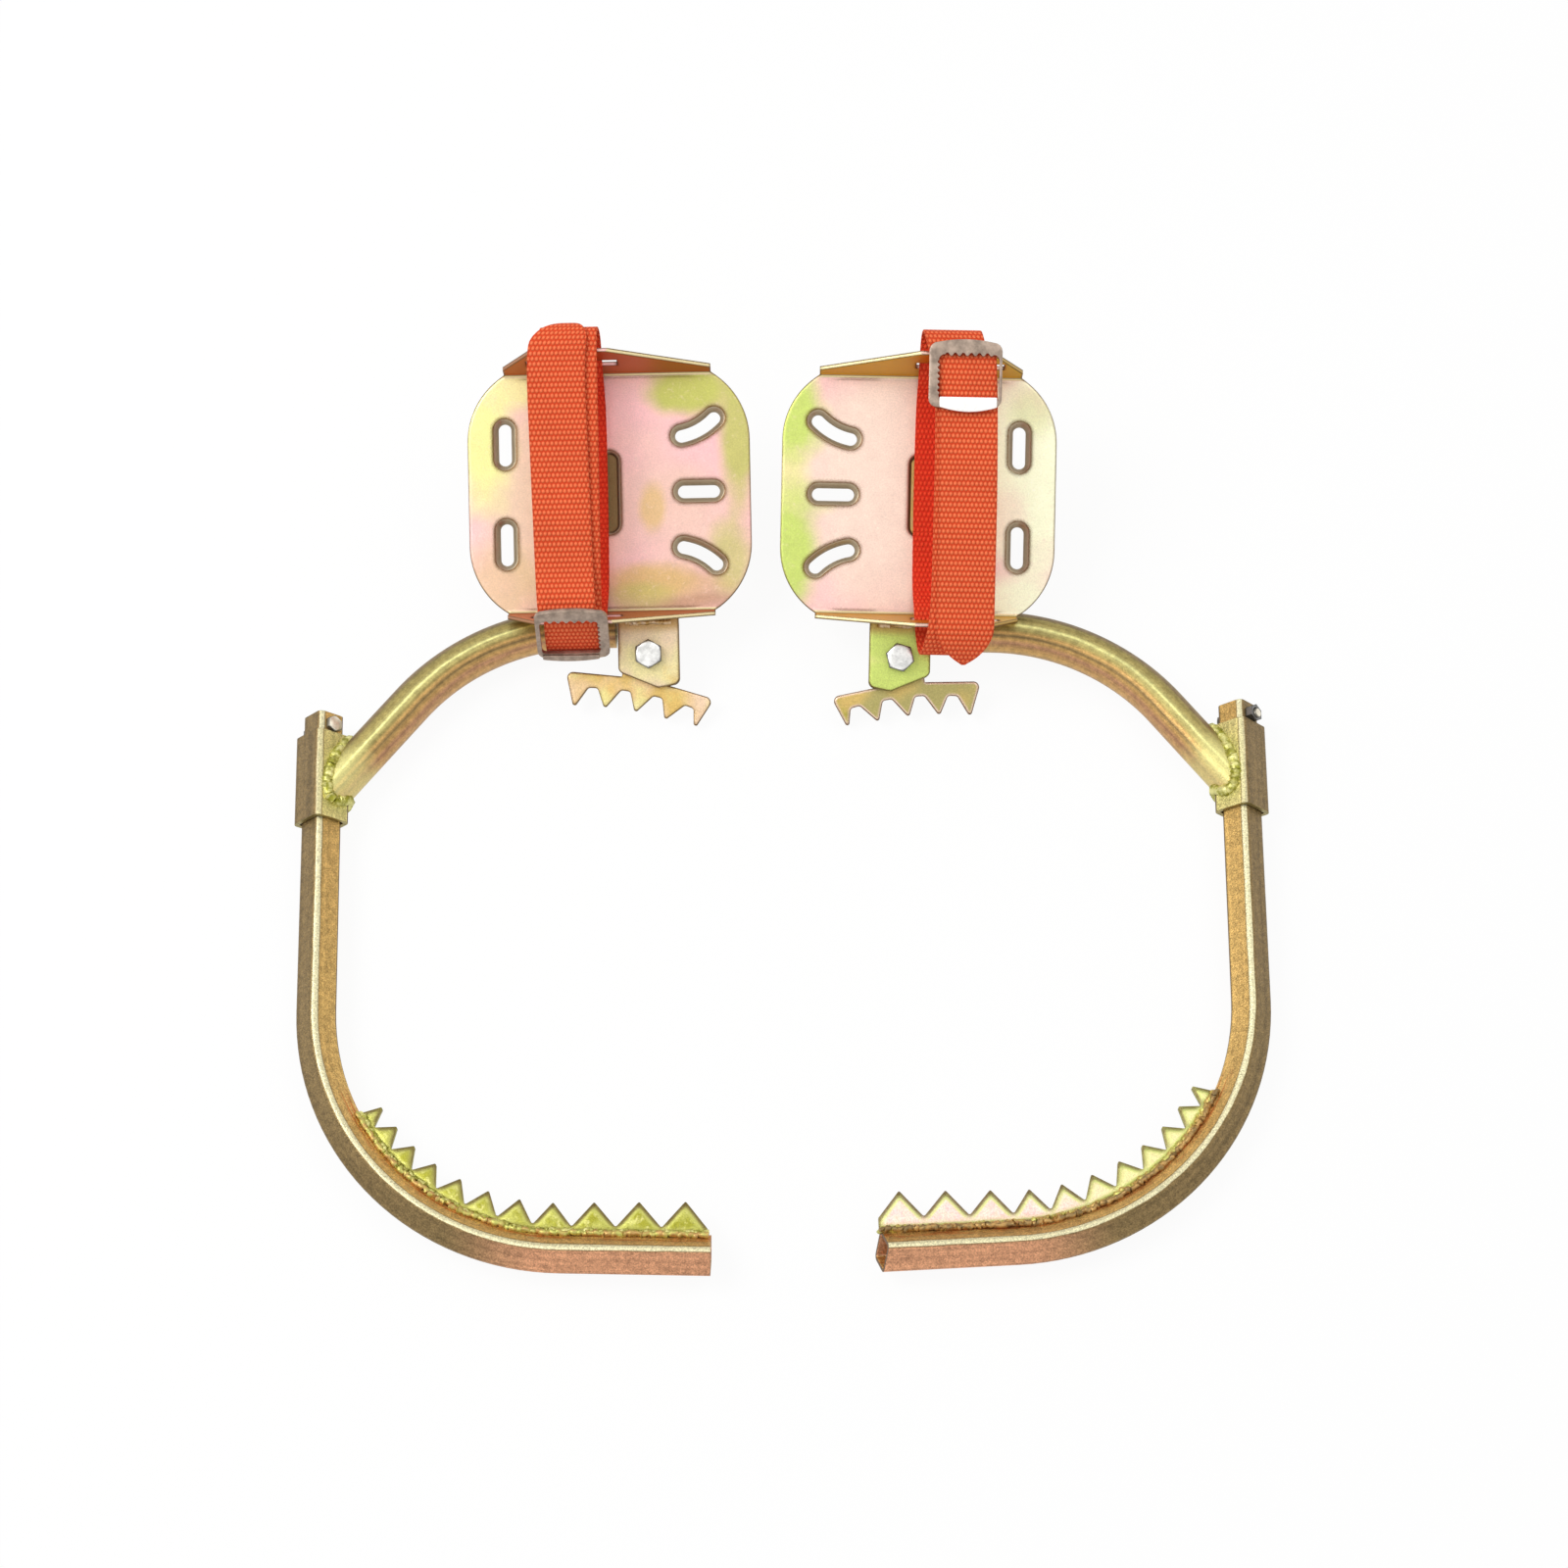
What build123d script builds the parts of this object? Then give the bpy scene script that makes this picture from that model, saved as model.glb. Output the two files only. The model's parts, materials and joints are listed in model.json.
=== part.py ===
from build123d import *
import math
import os
from dataclasses import dataclass

# A pair of foot-hook tree climbers, lying on the ground as they would be laid out.
# Each unit is modelled with its sleeve at the origin, the hook in the XY plane and the
# outer side towards +X. The left unit is the mirror image of that.
# Sizes are in millimetres, angles in degrees.

# Sliding square tubes, set corner up
hook_side = 15.2
hook_corner = 2.8
hook_wall = 1.5
slide_clearance = 0.3
sleeve_wall = 2.4
sleeve_corner = 3.2
sleeve_length = 47.0
hook_top = 11.5
leg_run = 122.5
bend_radius = 124.0

# Toothed strip in the bend of the hook
strip_thickness = 3.0
strip_height_far = 11.0
strip_tooth_depth = 13.0
strip_tooth_depth_far = 9.0
strip_tip_radius = 0.7
strip_root_radius = 0.9
strip_tooth_count = 11
strip_end_gap = 2.0
strip_far_gap = 3.0
first_tip = 12.5
tip_pitch = 21.8
tip_pitch_drop = 0.78
weld_gap = 0.02

# Round arm from the sleeve to the plate
arm_diameter = 21.3
arm_wall = 2.0
arm_turn = 51.0
arm_bend_radius = 112.0
arm_join = -11.5
arm_overhang = 7.5

# Foot plate with two bent-up flanges
plate_tilt = 24.0
plate_width = 122.0
plate_length_drawn = 142.5
plate_thickness = 2.0
plate_corner = 40.0
plate_corner_overrun = 6.0
bend_inside = 2.5
flange_height = 32.0
flange_lean = 11.0
flange_rim_outer = 36.0
flange_rim_inner = -1.0
flange_end_height = 6.5

# Slots in the plate, each with a drawn collar
slot_width = 6.6
slot_run = 15.0
slot_lip = 2.3
collar_wall = 2.6
collar_depth = 2.6
heel_inset = 19.0
heel_spacing = 51.2
toe_inset = 26.6
toe_arc_radius = 32.0
toe_arc_chord = 19.0
toe_arc_rise = 33.0
toe_arc_slant = 28.0
centre_slot_width = 7.6
centre_slot_length = 39.6
centre_slot_lip = 1.6
strap_slot_low = 11.6
strap_slot_high = 19.4
strap_slot_margin = 7.5

# Brace tube under the plate
brace_width = 22.0
brace_depth = 12.0
brace_wall = 2.0
brace_reach = 45.0

# Jaw and its bracket
jaw_thickness = 4.5
jaw_side_gap = 0.5
jaw_tip_radius = 150.0
jaw_tip_drop = 30.8
jaw_tip_round = 1.1
jaw_tooth_pitch = 15.6
jaw_tooth_shift = 1.6
jaw_tooth_depth = 10.5
jaw_tooth_count = 5
jaw_tooth_rake = 1.6
jaw_root_width = 4.4
jaw_root_radius = 2.0
jaw_shoulder_radius = 3.0
jaw_shoulder_reach = 38.5
jaw_shoulder_drop = 16.2
jaw_back_drop = 13.6
jaw_lug_radius = 11.5
ear_thickness = 3.0
ear_face = 8.2
ear_width = 31.0
ear_foot = 17.2
ear_foot_inner = 15.0
ear_chamfer_drop = 8.7
ear_chamfer_run = 20.0
ear_corner = 3.5
bolt_drop = 22.5
running_fit = 0.05
arm_end_gap = 1.5

# Fasteners
bolt_diameter = 8.0
bolt_head_flats = 13.0
bolt_head_height = 5.3
nut_height = 5.0
washer_diameter = 16.0
washer_thickness = 1.6
bolt_point = 1.0
stop_diameter = 5.0
stop_head_flats = 8.0
stop_head_height = 2.6
stop_nut_height = 4.0
stop_point = 1.2
stop_gap = 0.3

# Strap and buckle
strap_width = 30.0
strap_thickness = 1.6
strap_rest_gap = 0.2
strap_lift_run = 14.0
strap_rim_gap = 0.4
strap_layer_gap = 0.3
strap_top_bulge = 11.0
strap_foot_bulge = 12.7
strap_foot_drop = 15.0
tail_shift = 4.0
tail_tip = 22.0
tail_point = 9.0
buckle_width = 36.8
buckle_length = 35.0
buckle_height = 3.2
buckle_corner = 3.4
buckle_rail_inner = 4.6
buckle_rail_outer = 2.0
buckle_far_bar = 6.2
buckle_near_bar = 3.0
buckle_seat = 0.4
buckle_shift = 1.5
buckle_drop = 5.0
bar_length_out = 0.6
bar_depth = 4.0
bar_thickness = 1.2
bar_clearance = 0.2
bar_travel = 6.0

# Size of the blocks that cut right through a piece
beyond = 400.0


# Sizes that differ between the two hand-built units
@dataclass
class Unit:
    name: str
    side: int
    sleeve_x: float
    sleeve_y: float
    turn: float
    leg_lean: float
    arm_rise: float
    plate_lead: float
    plate_length: float
    jaw_lead: float
    jaw_swing: float
    bend_turn: float
    foot_run: float
    strip_height: float
    end_skew: float
    stop_side: int
    strap_offset: float
    buckle_end: int


left = Unit(
    name="left",
    side=-1,
    sleeve_x=232.0,
    sleeve_y=-84.4,
    turn=1.3,
    leg_lean=1.4,
    arm_rise=83.6,
    plate_lead=146.0,
    plate_length=144.5,
    jaw_lead=164.5,
    jaw_swing=11.8,
    bend_turn=86.3,
    foot_run=70.5,
    strip_height=15.9,
    end_skew=0.0,
    stop_side=-1,
    strap_offset=16.8,
    buckle_end=-1,
)
right = Unit(
    name="right",
    side=1,
    sleeve_x=229.7,
    sleeve_y=-78.1,
    turn=1.3,
    leg_lean=0.3,
    arm_rise=75.1,
    plate_lead=164.0,
    plate_length=140.5,
    jaw_lead=172.0,
    jaw_swing=7.2,
    bend_turn=85.4,
    foot_run=66.0,
    strip_height=19.0,
    end_skew=16.0,
    stop_side=1,
    strap_offset=19.6,
    buckle_end=1,
)


def sind(angle):
    return math.sin(math.radians(angle))


def cosd(angle):
    return math.cos(math.radians(angle))


def tand(angle):
    return math.tan(math.radians(angle))


# Values that follow from the sizes above
sleeve_side = hook_side + 2 * slide_clearance + 2 * sleeve_wall
hook_half = hook_side / math.sqrt(2) - hook_corner * (math.sqrt(2) - 1)
plate_half = plate_width / 2
bend_outside = bend_inside + plate_thickness
flange_bend = 90 - flange_lean
bend_centre_v = -plate_half + bend_inside * tand(flange_bend / 2)
arm_v = -(plate_half + arm_overhang)
arm_reach = bend_outside + arm_diameter / 2 + weld_gap
arm_w = bend_inside - math.sqrt(arm_reach**2 - (bend_centre_v - arm_v) ** 2)
rim_v = plate_half + flange_height * sind(flange_lean)
rim_w = flange_height * cosd(flange_lean)
bolt_v = -(plate_half + bolt_drop)
jaw_face = ear_face - ear_thickness - jaw_side_gap
ear_back = jaw_face - jaw_thickness - jaw_side_gap - ear_thickness


def flange_outer_v(w):
    """Distance from the plate's middle to a flange's outer face at height w."""
    return plate_half + plate_thickness / cosd(flange_lean) + w * tand(flange_lean)


def plate_plane(unit):
    """The plate's own frame: x along it, y across it, z off its face."""
    across = Vector(0, cosd(plate_tilt), sind(plate_tilt))
    off = Vector(0, -sind(plate_tilt), cosd(plate_tilt))
    arm_axis = Vector(-unit.plate_lead, unit.arm_rise, 0)
    return Plane(origin=arm_axis - across * arm_v - off * arm_w, x_dir=(1, 0, 0), z_dir=off)


def on_plate(unit, shape):
    return plate_plane(unit).location * shape


def section_plane(along):
    """Plane across the plate's frame at x = along, drawn in (y, z)."""
    return Plane(origin=(along, 0, 0), x_dir=(0, 1, 0), z_dir=(1, 0, 0))


def hex_prism(flats, height):
    return extrude(RegularPolygon(flats / 2, 6, major_radius=False), height)


# The sleeve and the hook that slides in it
def leg_axis(unit):
    return Vector(sind(unit.leg_lean), cosd(unit.leg_lean), 0)


def leg_inward(unit):
    return Vector(-cosd(unit.leg_lean), sind(unit.leg_lean), 0)


def leg_plane(unit, distance):
    """Plane square to the leg, at a distance along its axis from the sleeve's middle."""
    return Plane(origin=leg_axis(unit) * distance, x_dir=(0, 0, 1), z_dir=leg_axis(unit))


def corner_square(side, corner):
    return RectangleRounded(side, side, corner, rotation=45)


def make_sleeve(unit):
    bore = hook_side + 2 * slide_clearance
    bore_corner = sleeve_corner - sleeve_wall
    ring = corner_square(sleeve_side, sleeve_corner) - corner_square(bore, bore_corner)
    return extrude(leg_plane(unit, -sleeve_length / 2) * ring, sleeve_length)


def hook_point(unit, run, inset):
    """Point at a run along the hook's axis, from its toothed end, moved inwards by inset."""
    start = leg_axis(unit) * -leg_run
    centre = start + leg_inward(unit) * bend_radius
    last = (leg_axis(unit) * -1).rotate(Axis.Z, -unit.bend_turn)
    arc_end = centre + (start - centre).rotate(Axis.Z, -unit.bend_turn)
    inward = (centre - arc_end).normalized()
    if run <= unit.foot_run:
        return arc_end + last * (unit.foot_run - run) + inward * inset
    swept = math.degrees((run - unit.foot_run) / bend_radius)
    spoke = (arc_end - centre).rotate(Axis.Z, swept).normalized()
    return centre + spoke * (bend_radius - inset)


def make_hook_tube(unit):
    top = leg_axis(unit) * (sleeve_length / 2 + hook_top)
    bend_length = math.radians(unit.bend_turn) * bend_radius
    spare = hook_side * tand(unit.end_skew)
    bend_start = leg_axis(unit) * -leg_run
    bend_middle = hook_point(unit, unit.foot_run + bend_length / 2, 0)
    bend_end = hook_point(unit, unit.foot_run, 0)
    tip = hook_point(unit, -spare, 0)
    path = Wire(
        [
            Edge.make_line(top, bend_start),
            Edge.make_three_point_arc(bend_start, bend_middle, bend_end),
            Edge.make_line(bend_end, tip),
        ]
    )
    section = corner_square(hook_side, hook_corner)
    section -= corner_square(hook_side - 2 * hook_wall, hook_corner - hook_wall)
    start_plane = Plane(origin=top, x_dir=(0, 0, 1), z_dir=leg_axis(unit) * -1)
    tube = sweep(start_plane * section, path=path)
    along = (tip - bend_end).normalized()
    cut_normal = along * cosd(unit.end_skew) + Vector(0, 0, sind(unit.end_skew))
    cut = Plane(origin=hook_point(unit, hook_half * tand(unit.end_skew), 0), z_dir=cut_normal)
    return split(tube, bisect_by=cut, keep=Keep.BOTTOM)


def tip_runs():
    """Places of the tooth tips along the hook's axis, from its toothed end."""
    run = first_tip
    runs = []
    for index in range(strip_tooth_count):
        runs.append(run)
        run += tip_pitch - tip_pitch_drop * index
    return runs


def make_hook_teeth(unit):
    runs = tip_runs()
    base = hook_half + weld_gap
    far_end = runs[-1] + strip_far_gap
    span = far_end - strip_end_gap

    def tapered(run, near, far):
        return near + (far - near) * (run - strip_end_gap) / span

    def root_point(run):
        height = tapered(run, unit.strip_height, strip_height_far)
        depth = tapered(run, strip_tooth_depth, strip_tooth_depth_far)
        return hook_point(unit, run, base + height - depth)

    outline = [hook_point(unit, strip_end_gap, base), root_point(strip_end_gap)]
    tips = []
    roots = []
    for index, run in enumerate(runs):
        tips.append(hook_point(unit, run, base + tapered(run, unit.strip_height, strip_height_far)))
        outline.append(tips[-1])
        if index + 1 < len(runs):
            roots.append(root_point((run + runs[index + 1]) / 2))
            outline.append(roots[-1])
    outline.append(hook_point(unit, far_end, base))
    edges = [Edge.make_line(a, b) for a, b in zip(outline, outline[1:])]
    bend_start = hook_point(unit, unit.foot_run, base)
    bend_middle = hook_point(unit, (unit.foot_run + far_end) / 2, base)
    edges.append(Edge.make_three_point_arc(outline[-1], bend_middle, bend_start))
    edges.append(Edge.make_line(bend_start, outline[0]))
    face = round_at(make_face(edges), tips, strip_tip_radius)
    face = round_at(face, roots, strip_root_radius)
    return extrude(face, strip_thickness / 2, dir=(0, 0, 1), both=True)


def stop_frame(unit):
    """Frame of the stop bolt: z along the bolt, out of the tube face that carries the head."""
    drop = stop_head_flats / math.sqrt(3) + stop_gap
    centre = leg_axis(unit) * (sleeve_length / 2 + drop)
    head_side = (leg_inward(unit) + Vector(0, 0, -unit.stop_side)).normalized()
    return Plane(origin=centre, x_dir=leg_axis(unit), z_dir=head_side)


def make_stop_bolt(unit):
    reach = hook_side / 2
    length = hook_side + stop_nut_height + stop_point
    shank = Pos(0, 0, reach - length) * Cylinder(
        stop_diameter / 2, length, align=(Align.CENTER, Align.CENTER, Align.MIN)
    )
    head = Pos(0, 0, reach + weld_gap) * hex_prism(stop_head_flats, stop_head_height)
    neck = Pos(0, 0, reach) * Cylinder(
        stop_diameter / 2, stop_head_height, align=(Align.CENTER, Align.CENTER, Align.MIN)
    )
    return stop_frame(unit).location * (shank + neck + head)


def make_stop_nut(unit):
    nut = hex_prism(stop_head_flats, stop_nut_height) - Cylinder(
        stop_diameter / 2 + weld_gap, beyond
    )
    seat = -(hook_side / 2 + weld_gap + stop_nut_height)
    return stop_frame(unit).location * (Pos(0, 0, seat) * nut)


def drill_for_stop(unit, tube):
    drill = Cylinder(stop_diameter / 2 + weld_gap, beyond)
    return tube - stop_frame(unit).location * drill


# The arm
def make_arm(unit):
    direction = Vector(-cosd(arm_turn), sind(arm_turn), 0)
    join = Vector(0, arm_join, 0)
    lift = unit.arm_rise - arm_join - arm_bend_radius * (1 - cosd(arm_turn))
    bend_start = join + direction * (lift / sind(arm_turn))
    bend_end = bend_start + Vector(
        -arm_bend_radius * sind(arm_turn), arm_bend_radius * (1 - cosd(arm_turn)), 0
    )
    centre = bend_end - Vector(0, arm_bend_radius, 0)
    middle = centre + (bend_end - centre).rotate(Axis.Z, -arm_turn / 2)
    end = Vector(-(unit.jaw_lead - ear_width / 2 - arm_end_gap), unit.arm_rise, 0)
    path = Wire(
        [
            Edge.make_line(join, bend_start),
            Edge.make_three_point_arc(bend_start, middle, bend_end),
            Edge.make_line(bend_end, end),
        ]
    )
    ring = Circle(arm_diameter / 2) - Circle(arm_diameter / 2 - arm_wall)
    tube = sweep(Plane(origin=join, z_dir=direction) * ring, path=path)
    seat = corner_square(sleeve_side + 2 * weld_gap, sleeve_corner)
    cope = extrude(leg_plane(unit, 0) * seat, beyond, both=True)
    coped = tube - cope
    return coped.solids().sort_by(SortBy.VOLUME)[-1]


# The foot plate
def slot_shapes(unit, width):
    """Outlines of the slots in the plate's face, all of one width."""
    heel_x = unit.plate_length / 2 - heel_inset
    toe_x = -(unit.plate_length / 2 - toe_inset)
    length = slot_run + width
    shapes = [
        Pos(heel_x, heel_spacing / 2) * SlotOverall(length, width, rotation=90),
        Pos(heel_x, -heel_spacing / 2) * SlotOverall(length, width, rotation=90),
        Pos(toe_x, 0) * SlotOverall(length, width),
    ]
    half = math.degrees(math.asin(toe_arc_chord / 2 / toe_arc_radius))
    sagitta = toe_arc_radius * (1 - cosd(half))
    for flip in (1, -1):
        chord = Vector(-cosd(toe_arc_slant), flip * sind(toe_arc_slant), 0)
        belly = Vector(-sind(toe_arc_slant), -flip * cosd(toe_arc_slant), 0)
        middle = Vector(toe_x, flip * toe_arc_rise, 0)
        arc = Edge.make_three_point_arc(
            middle - chord * (toe_arc_chord / 2),
            middle + belly * sagitta,
            middle + chord * (toe_arc_chord / 2),
        )
        shapes.append(SlotArc(arc, width))
    return shapes


def plate_channel(unit):
    """Sheet bent to a channel: the plate with a full-length flange along each edge."""
    half_thick = plate_thickness / 2
    rim = (rim_v + half_thick * cosd(flange_lean), rim_w - half_thick * sind(flange_lean))
    corner = (plate_half + half_thick * tand(flange_bend / 2), -half_thick)
    line = FilletPolyline(
        (-rim[0], rim[1]),
        (-corner[0], corner[1]),
        corner,
        rim,
        radius=bend_inside + half_thick,
    )
    return extrude(section_plane(0) * trace(line, plate_thickness), beyond, both=True)


def along(unit, place):
    """A place along the plate, or a size of its outline, that keeps in step with its length."""
    return place * unit.plate_length / plate_length_drawn


def flange_root(unit):
    """Half the length of a flange where it leaves the plate's rounded corners."""
    corner = along(unit, plate_corner)
    rise = corner - plate_corner_overrun
    return unit.plate_length / 2 - corner + math.sqrt(corner**2 - rise**2)


def strap_middle(unit):
    return along(unit, unit.strap_offset)


def widen_mouths(plate, lip, reach=beyond):
    """Slopes the mouths of the slots in the plate's face, those within reach of its middle."""
    top = plate.faces().filter_by(Axis.Z).filter_by_position(Axis.Z, -weld_gap, weld_gap)
    mouths = top.sort_by(SortBy.AREA)[-1].inner_wires()
    near = [mouth for mouth in mouths if mouth.center().length < reach]
    return chamfer([edge for mouth in near for edge in mouth.edges()], lip)


def make_foot_plate(unit):
    root = flange_root(unit)
    between_bends = Box(beyond, plate_width, beyond)
    full_width = plate_width + 2 * plate_corner_overrun
    outline = RectangleRounded(unit.plate_length, full_width, along(unit, plate_corner))
    flat_zone = extrude(outline, beyond, both=True) & between_bends
    flange_outline = Polyline(
        (-root, -beyond),
        (root, -beyond),
        (root, flange_end_height),
        (along(unit, flange_rim_outer), rim_w),
        (along(unit, flange_rim_inner), rim_w),
        (-root, flange_end_height),
        close=True,
    )
    flange_zone = extrude(Plane.XZ * make_face(flange_outline), beyond, both=True) - between_bends
    channel = plate_channel(unit)
    plate = (channel & flat_zone) + (channel & flange_zone)
    for shape in slot_shapes(unit, slot_width + 2 * collar_wall):
        plate += Pos(0, 0, -plate_thickness - collar_depth) * extrude(shape, collar_depth)
    for shape in slot_shapes(unit, slot_width):
        plate -= extrude(shape, beyond, both=True)
    plate = widen_mouths(plate, slot_lip)
    plate -= extrude(SlotOverall(centre_slot_length, centre_slot_width, rotation=90), beyond, both=True)
    plate = widen_mouths(plate, centre_slot_lip, centre_slot_length / 2)
    strap_cut = along(unit, strap_width + 2 * strap_slot_margin)
    strap_height = strap_slot_high - strap_slot_low
    slot_middle = (strap_slot_high + strap_slot_low) / 2
    plate -= Pos(strap_middle(unit), 0, slot_middle) * Box(strap_cut, beyond, strap_height)
    return on_plate(unit, plate)


def make_plate_brace(unit):
    start = arm_v + arm_diameter / 2 + weld_gap
    length = brace_reach - start
    tube = Rectangle(brace_width, brace_depth)
    tube -= Rectangle(brace_width - 2 * brace_wall, brace_depth - 2 * brace_wall)
    bar = extrude(Plane.XZ * tube, -length)
    depth = -(plate_thickness + weld_gap + brace_depth / 2)
    return on_plate(unit, Pos(0, start, depth) * bar)


# The jaw, its bracket and its bolt, drawn about the bolt's axis
def at_bolt(unit, shape):
    along = unit.plate_lead - unit.jaw_lead
    return on_plate(unit, Pos(along, bolt_v, 0) * shape)


def make_jaw_bracket(unit):
    half = ear_width / 2
    web_top = bolt_drop - (flange_outer_v(ear_face) - plate_half) - weld_gap
    feet = [(half, -ear_chamfer_drop), (half - ear_chamfer_run, -ear_foot), (-half, -ear_foot_inner)]
    outline = Polyline((half, web_top), *feet, (-half, web_top), close=True)
    ear = round_at(make_face(outline), feet, ear_corner)
    block = Pos(0, 0, ear_back) * extrude(ear, ear_face - ear_back)
    gap = jaw_thickness + 2 * jaw_side_gap
    reach = web_top - ear_thickness
    pocket = Pos(0, reach, jaw_face + jaw_side_gap - gap) * Box(
        beyond, beyond, gap, align=(Align.CENTER, Align.MAX, Align.MIN)
    )
    hole = Cylinder(bolt_diameter / 2 + weld_gap, beyond)
    return at_bolt(unit, block - pocket - hole)


def round_at(face, places, radius):
    """Rounds a flat face's corners at the given places."""
    corners = [
        corner
        for corner in face.vertices()
        if any((corner.center() - Vector(place)).length < weld_gap for place in places)
    ]
    return fillet(corners, radius)


def jaw_outline():
    """Jaw with level teeth: tips on an arc that is hollow towards the trunk."""
    hub = -(jaw_tip_drop + jaw_tip_radius)

    def around(offset, inset):
        angle = math.degrees(math.asin(offset / jaw_tip_radius))
        radius = jaw_tip_radius + inset
        return (jaw_tooth_shift + radius * sind(angle), hub + radius * cosd(angle))

    outer_shoulder = (jaw_tooth_shift + jaw_shoulder_reach, -jaw_shoulder_drop)
    inner_shoulder = (jaw_tooth_shift - jaw_shoulder_reach, -jaw_shoulder_drop)
    points = [outer_shoulder]
    tips = []
    roots = []
    for index in range(jaw_tooth_count):
        tip = ((jaw_tooth_count - 1) / 2 - index) * jaw_tooth_pitch
        tips.append(around(tip, 0))
        points.append(tips[-1])
        if index + 1 < jaw_tooth_count:
            root = tip - jaw_tooth_pitch / 2 - jaw_tooth_rake
            roots.append(around(root + jaw_root_width / 2, jaw_tooth_depth))
            roots.append(around(root - jaw_root_width / 2, jaw_tooth_depth))
            points += roots[-2:]
    points.append(inner_shoulder)
    points.append((-jaw_lug_radius, -jaw_back_drop))
    points.append((jaw_lug_radius, -jaw_back_drop))
    face = make_face(Polyline(*points, close=True))
    face = round_at(face, roots, jaw_root_radius)
    face = round_at(face, tips, jaw_tip_round)
    return round_at(face, [outer_shoulder, inner_shoulder], jaw_shoulder_radius)


def make_jaw(unit):
    lug = Circle(jaw_lug_radius)
    neck = Pos(0, -jaw_back_drop / 2) * Rectangle(2 * jaw_lug_radius, jaw_back_drop)
    shape = jaw_outline() + neck + lug
    shape -= Circle(bolt_diameter / 2 + running_fit)
    plate = Pos(0, 0, jaw_face - jaw_thickness) * extrude(shape, jaw_thickness)
    return at_bolt(unit, Rot(0, 0, unit.jaw_swing) * plate)


def make_jaw_bolt(unit):
    seat = ear_face + weld_gap
    foot = ear_back - washer_thickness - nut_height - bolt_point
    head = Pos(0, 0, seat) * hex_prism(bolt_head_flats, bolt_head_height)
    shank = Pos(0, 0, foot) * Cylinder(
        bolt_diameter / 2, seat - foot, align=(Align.CENTER, Align.CENTER, Align.MIN)
    )
    return at_bolt(unit, head + shank)


def make_jaw_washer(unit):
    ring = Circle(washer_diameter / 2) - Circle(bolt_diameter / 2 + weld_gap)
    seat = ear_back - weld_gap - washer_thickness
    return at_bolt(unit, Pos(0, 0, seat) * extrude(ring, washer_thickness))


def make_jaw_nut(unit):
    seat = ear_back - 2 * weld_gap - washer_thickness - nut_height
    nut = Pos(0, 0, seat) * hex_prism(bolt_head_flats, nut_height)
    bore = Cylinder(bolt_diameter / 2 + weld_gap, beyond)
    return at_bolt(unit, nut - bore)


# The strap: a loop through the flange slots and over both rims, and its loose tail
def strap_crown():
    """Height of the strap's top face where it crosses the rims."""
    return rim_w + strap_rim_gap + strap_thickness


def strap_loop(swell):
    """Outline of the loop's outer face, swollen by a given amount."""
    crown = strap_crown()
    rim_out = flange_outer_v(rim_w)
    slot_out = flange_outer_v(strap_slot_low) + strap_thickness
    slot_level = strap_slot_low + strap_layer_gap
    bend_start = plate_half - bend_outside
    lift_off = bend_start - strap_lift_run
    slope_start = rim_out + strap_layer_gap
    foot = rim_out + strap_foot_bulge
    foot_level = crown - strap_foot_drop
    top = rim_out + strap_top_bulge
    points = [
        (-lift_off, strap_rest_gap),
        (lift_off, strap_rest_gap),
        (bend_start, slot_level),
        (slot_out, slot_level),
        (top, (crown + 2 * slot_level) / 3),
        (top, crown - strap_top_bulge),
        (rim_out + strap_thickness, crown),
        (-slope_start, crown),
        (-foot, foot_level),
        (-(foot - strap_thickness), (foot_level + slot_level) / 2),
        (-slot_out, slot_level),
        (-bend_start, slot_level),
    ]
    loop = make_face(FilletPolyline(*points, radius=2 * strap_thickness, close=True))
    if swell:
        loop = offset(loop, swell)
    return loop


def strap_band(place, outer, inner):
    """Webbing between two swollen loops, its middle at a place along the plate."""
    profile = strap_loop(outer) - strap_loop(inner)
    return extrude(section_plane(place - strap_width / 2) * profile, strap_width)


def strap_split():
    return (strap_slot_high + rim_w) / 2


def make_strap_lower_run(unit):
    below = Pos(0, 0, strap_split() - beyond / 2) * Box(beyond, beyond, beyond)
    return on_plate(unit, strap_band(strap_middle(unit), 0, -strap_thickness) & below)


def make_strap_upper_run(unit):
    above = Pos(0, 0, strap_split() + beyond / 2) * Box(beyond, beyond, beyond)
    return on_plate(unit, strap_band(strap_middle(unit), 0, -strap_thickness) & above)


def make_strap_tail(unit):
    near = unit.buckle_end * (plate_half - buckle_length / 2 - beyond / 2)
    middle = strap_middle(unit) + tail_shift
    band = strap_band(middle, strap_layer_gap + strap_thickness, strap_layer_gap)
    zone = Pos(0, near, tail_tip + beyond / 2) * Box(beyond, beyond, beyond)
    tip = Polyline(
        (middle - strap_width / 2, tail_tip),
        (middle, tail_tip),
        (middle - strap_width / 2, tail_tip + tail_point),
        close=True,
    )
    snip = extrude(Plane.XZ * make_face(tip), beyond, both=True)
    other = Plane(origin=(middle, 0, 0), z_dir=(1, 0, 0))
    tail = (band & zone) - snip - mirror(snip, about=other)
    return on_plate(unit, tail)


# The buckle, drawn flat about its own middle
def on_buckle(unit, shape):
    crown = strap_crown()
    middle = strap_middle(unit) + buckle_shift
    if unit.buckle_end > 0:
        lift = crown + strap_layer_gap + strap_thickness + buckle_seat
        place = Pos(middle, plate_half - bend_outside, lift)
        return on_plate(unit, place * shape)
    rim_out = flange_outer_v(rim_w)
    slope = Plane(
        origin=(middle, -(rim_out + strap_layer_gap), crown),
        x_dir=(1, 0, 0),
        z_dir=(0, -strap_foot_drop, strap_foot_bulge - strap_layer_gap),
    )
    return on_plate(unit, slope.location * Pos(0, -buckle_drop, buckle_seat) * shape)


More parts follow.
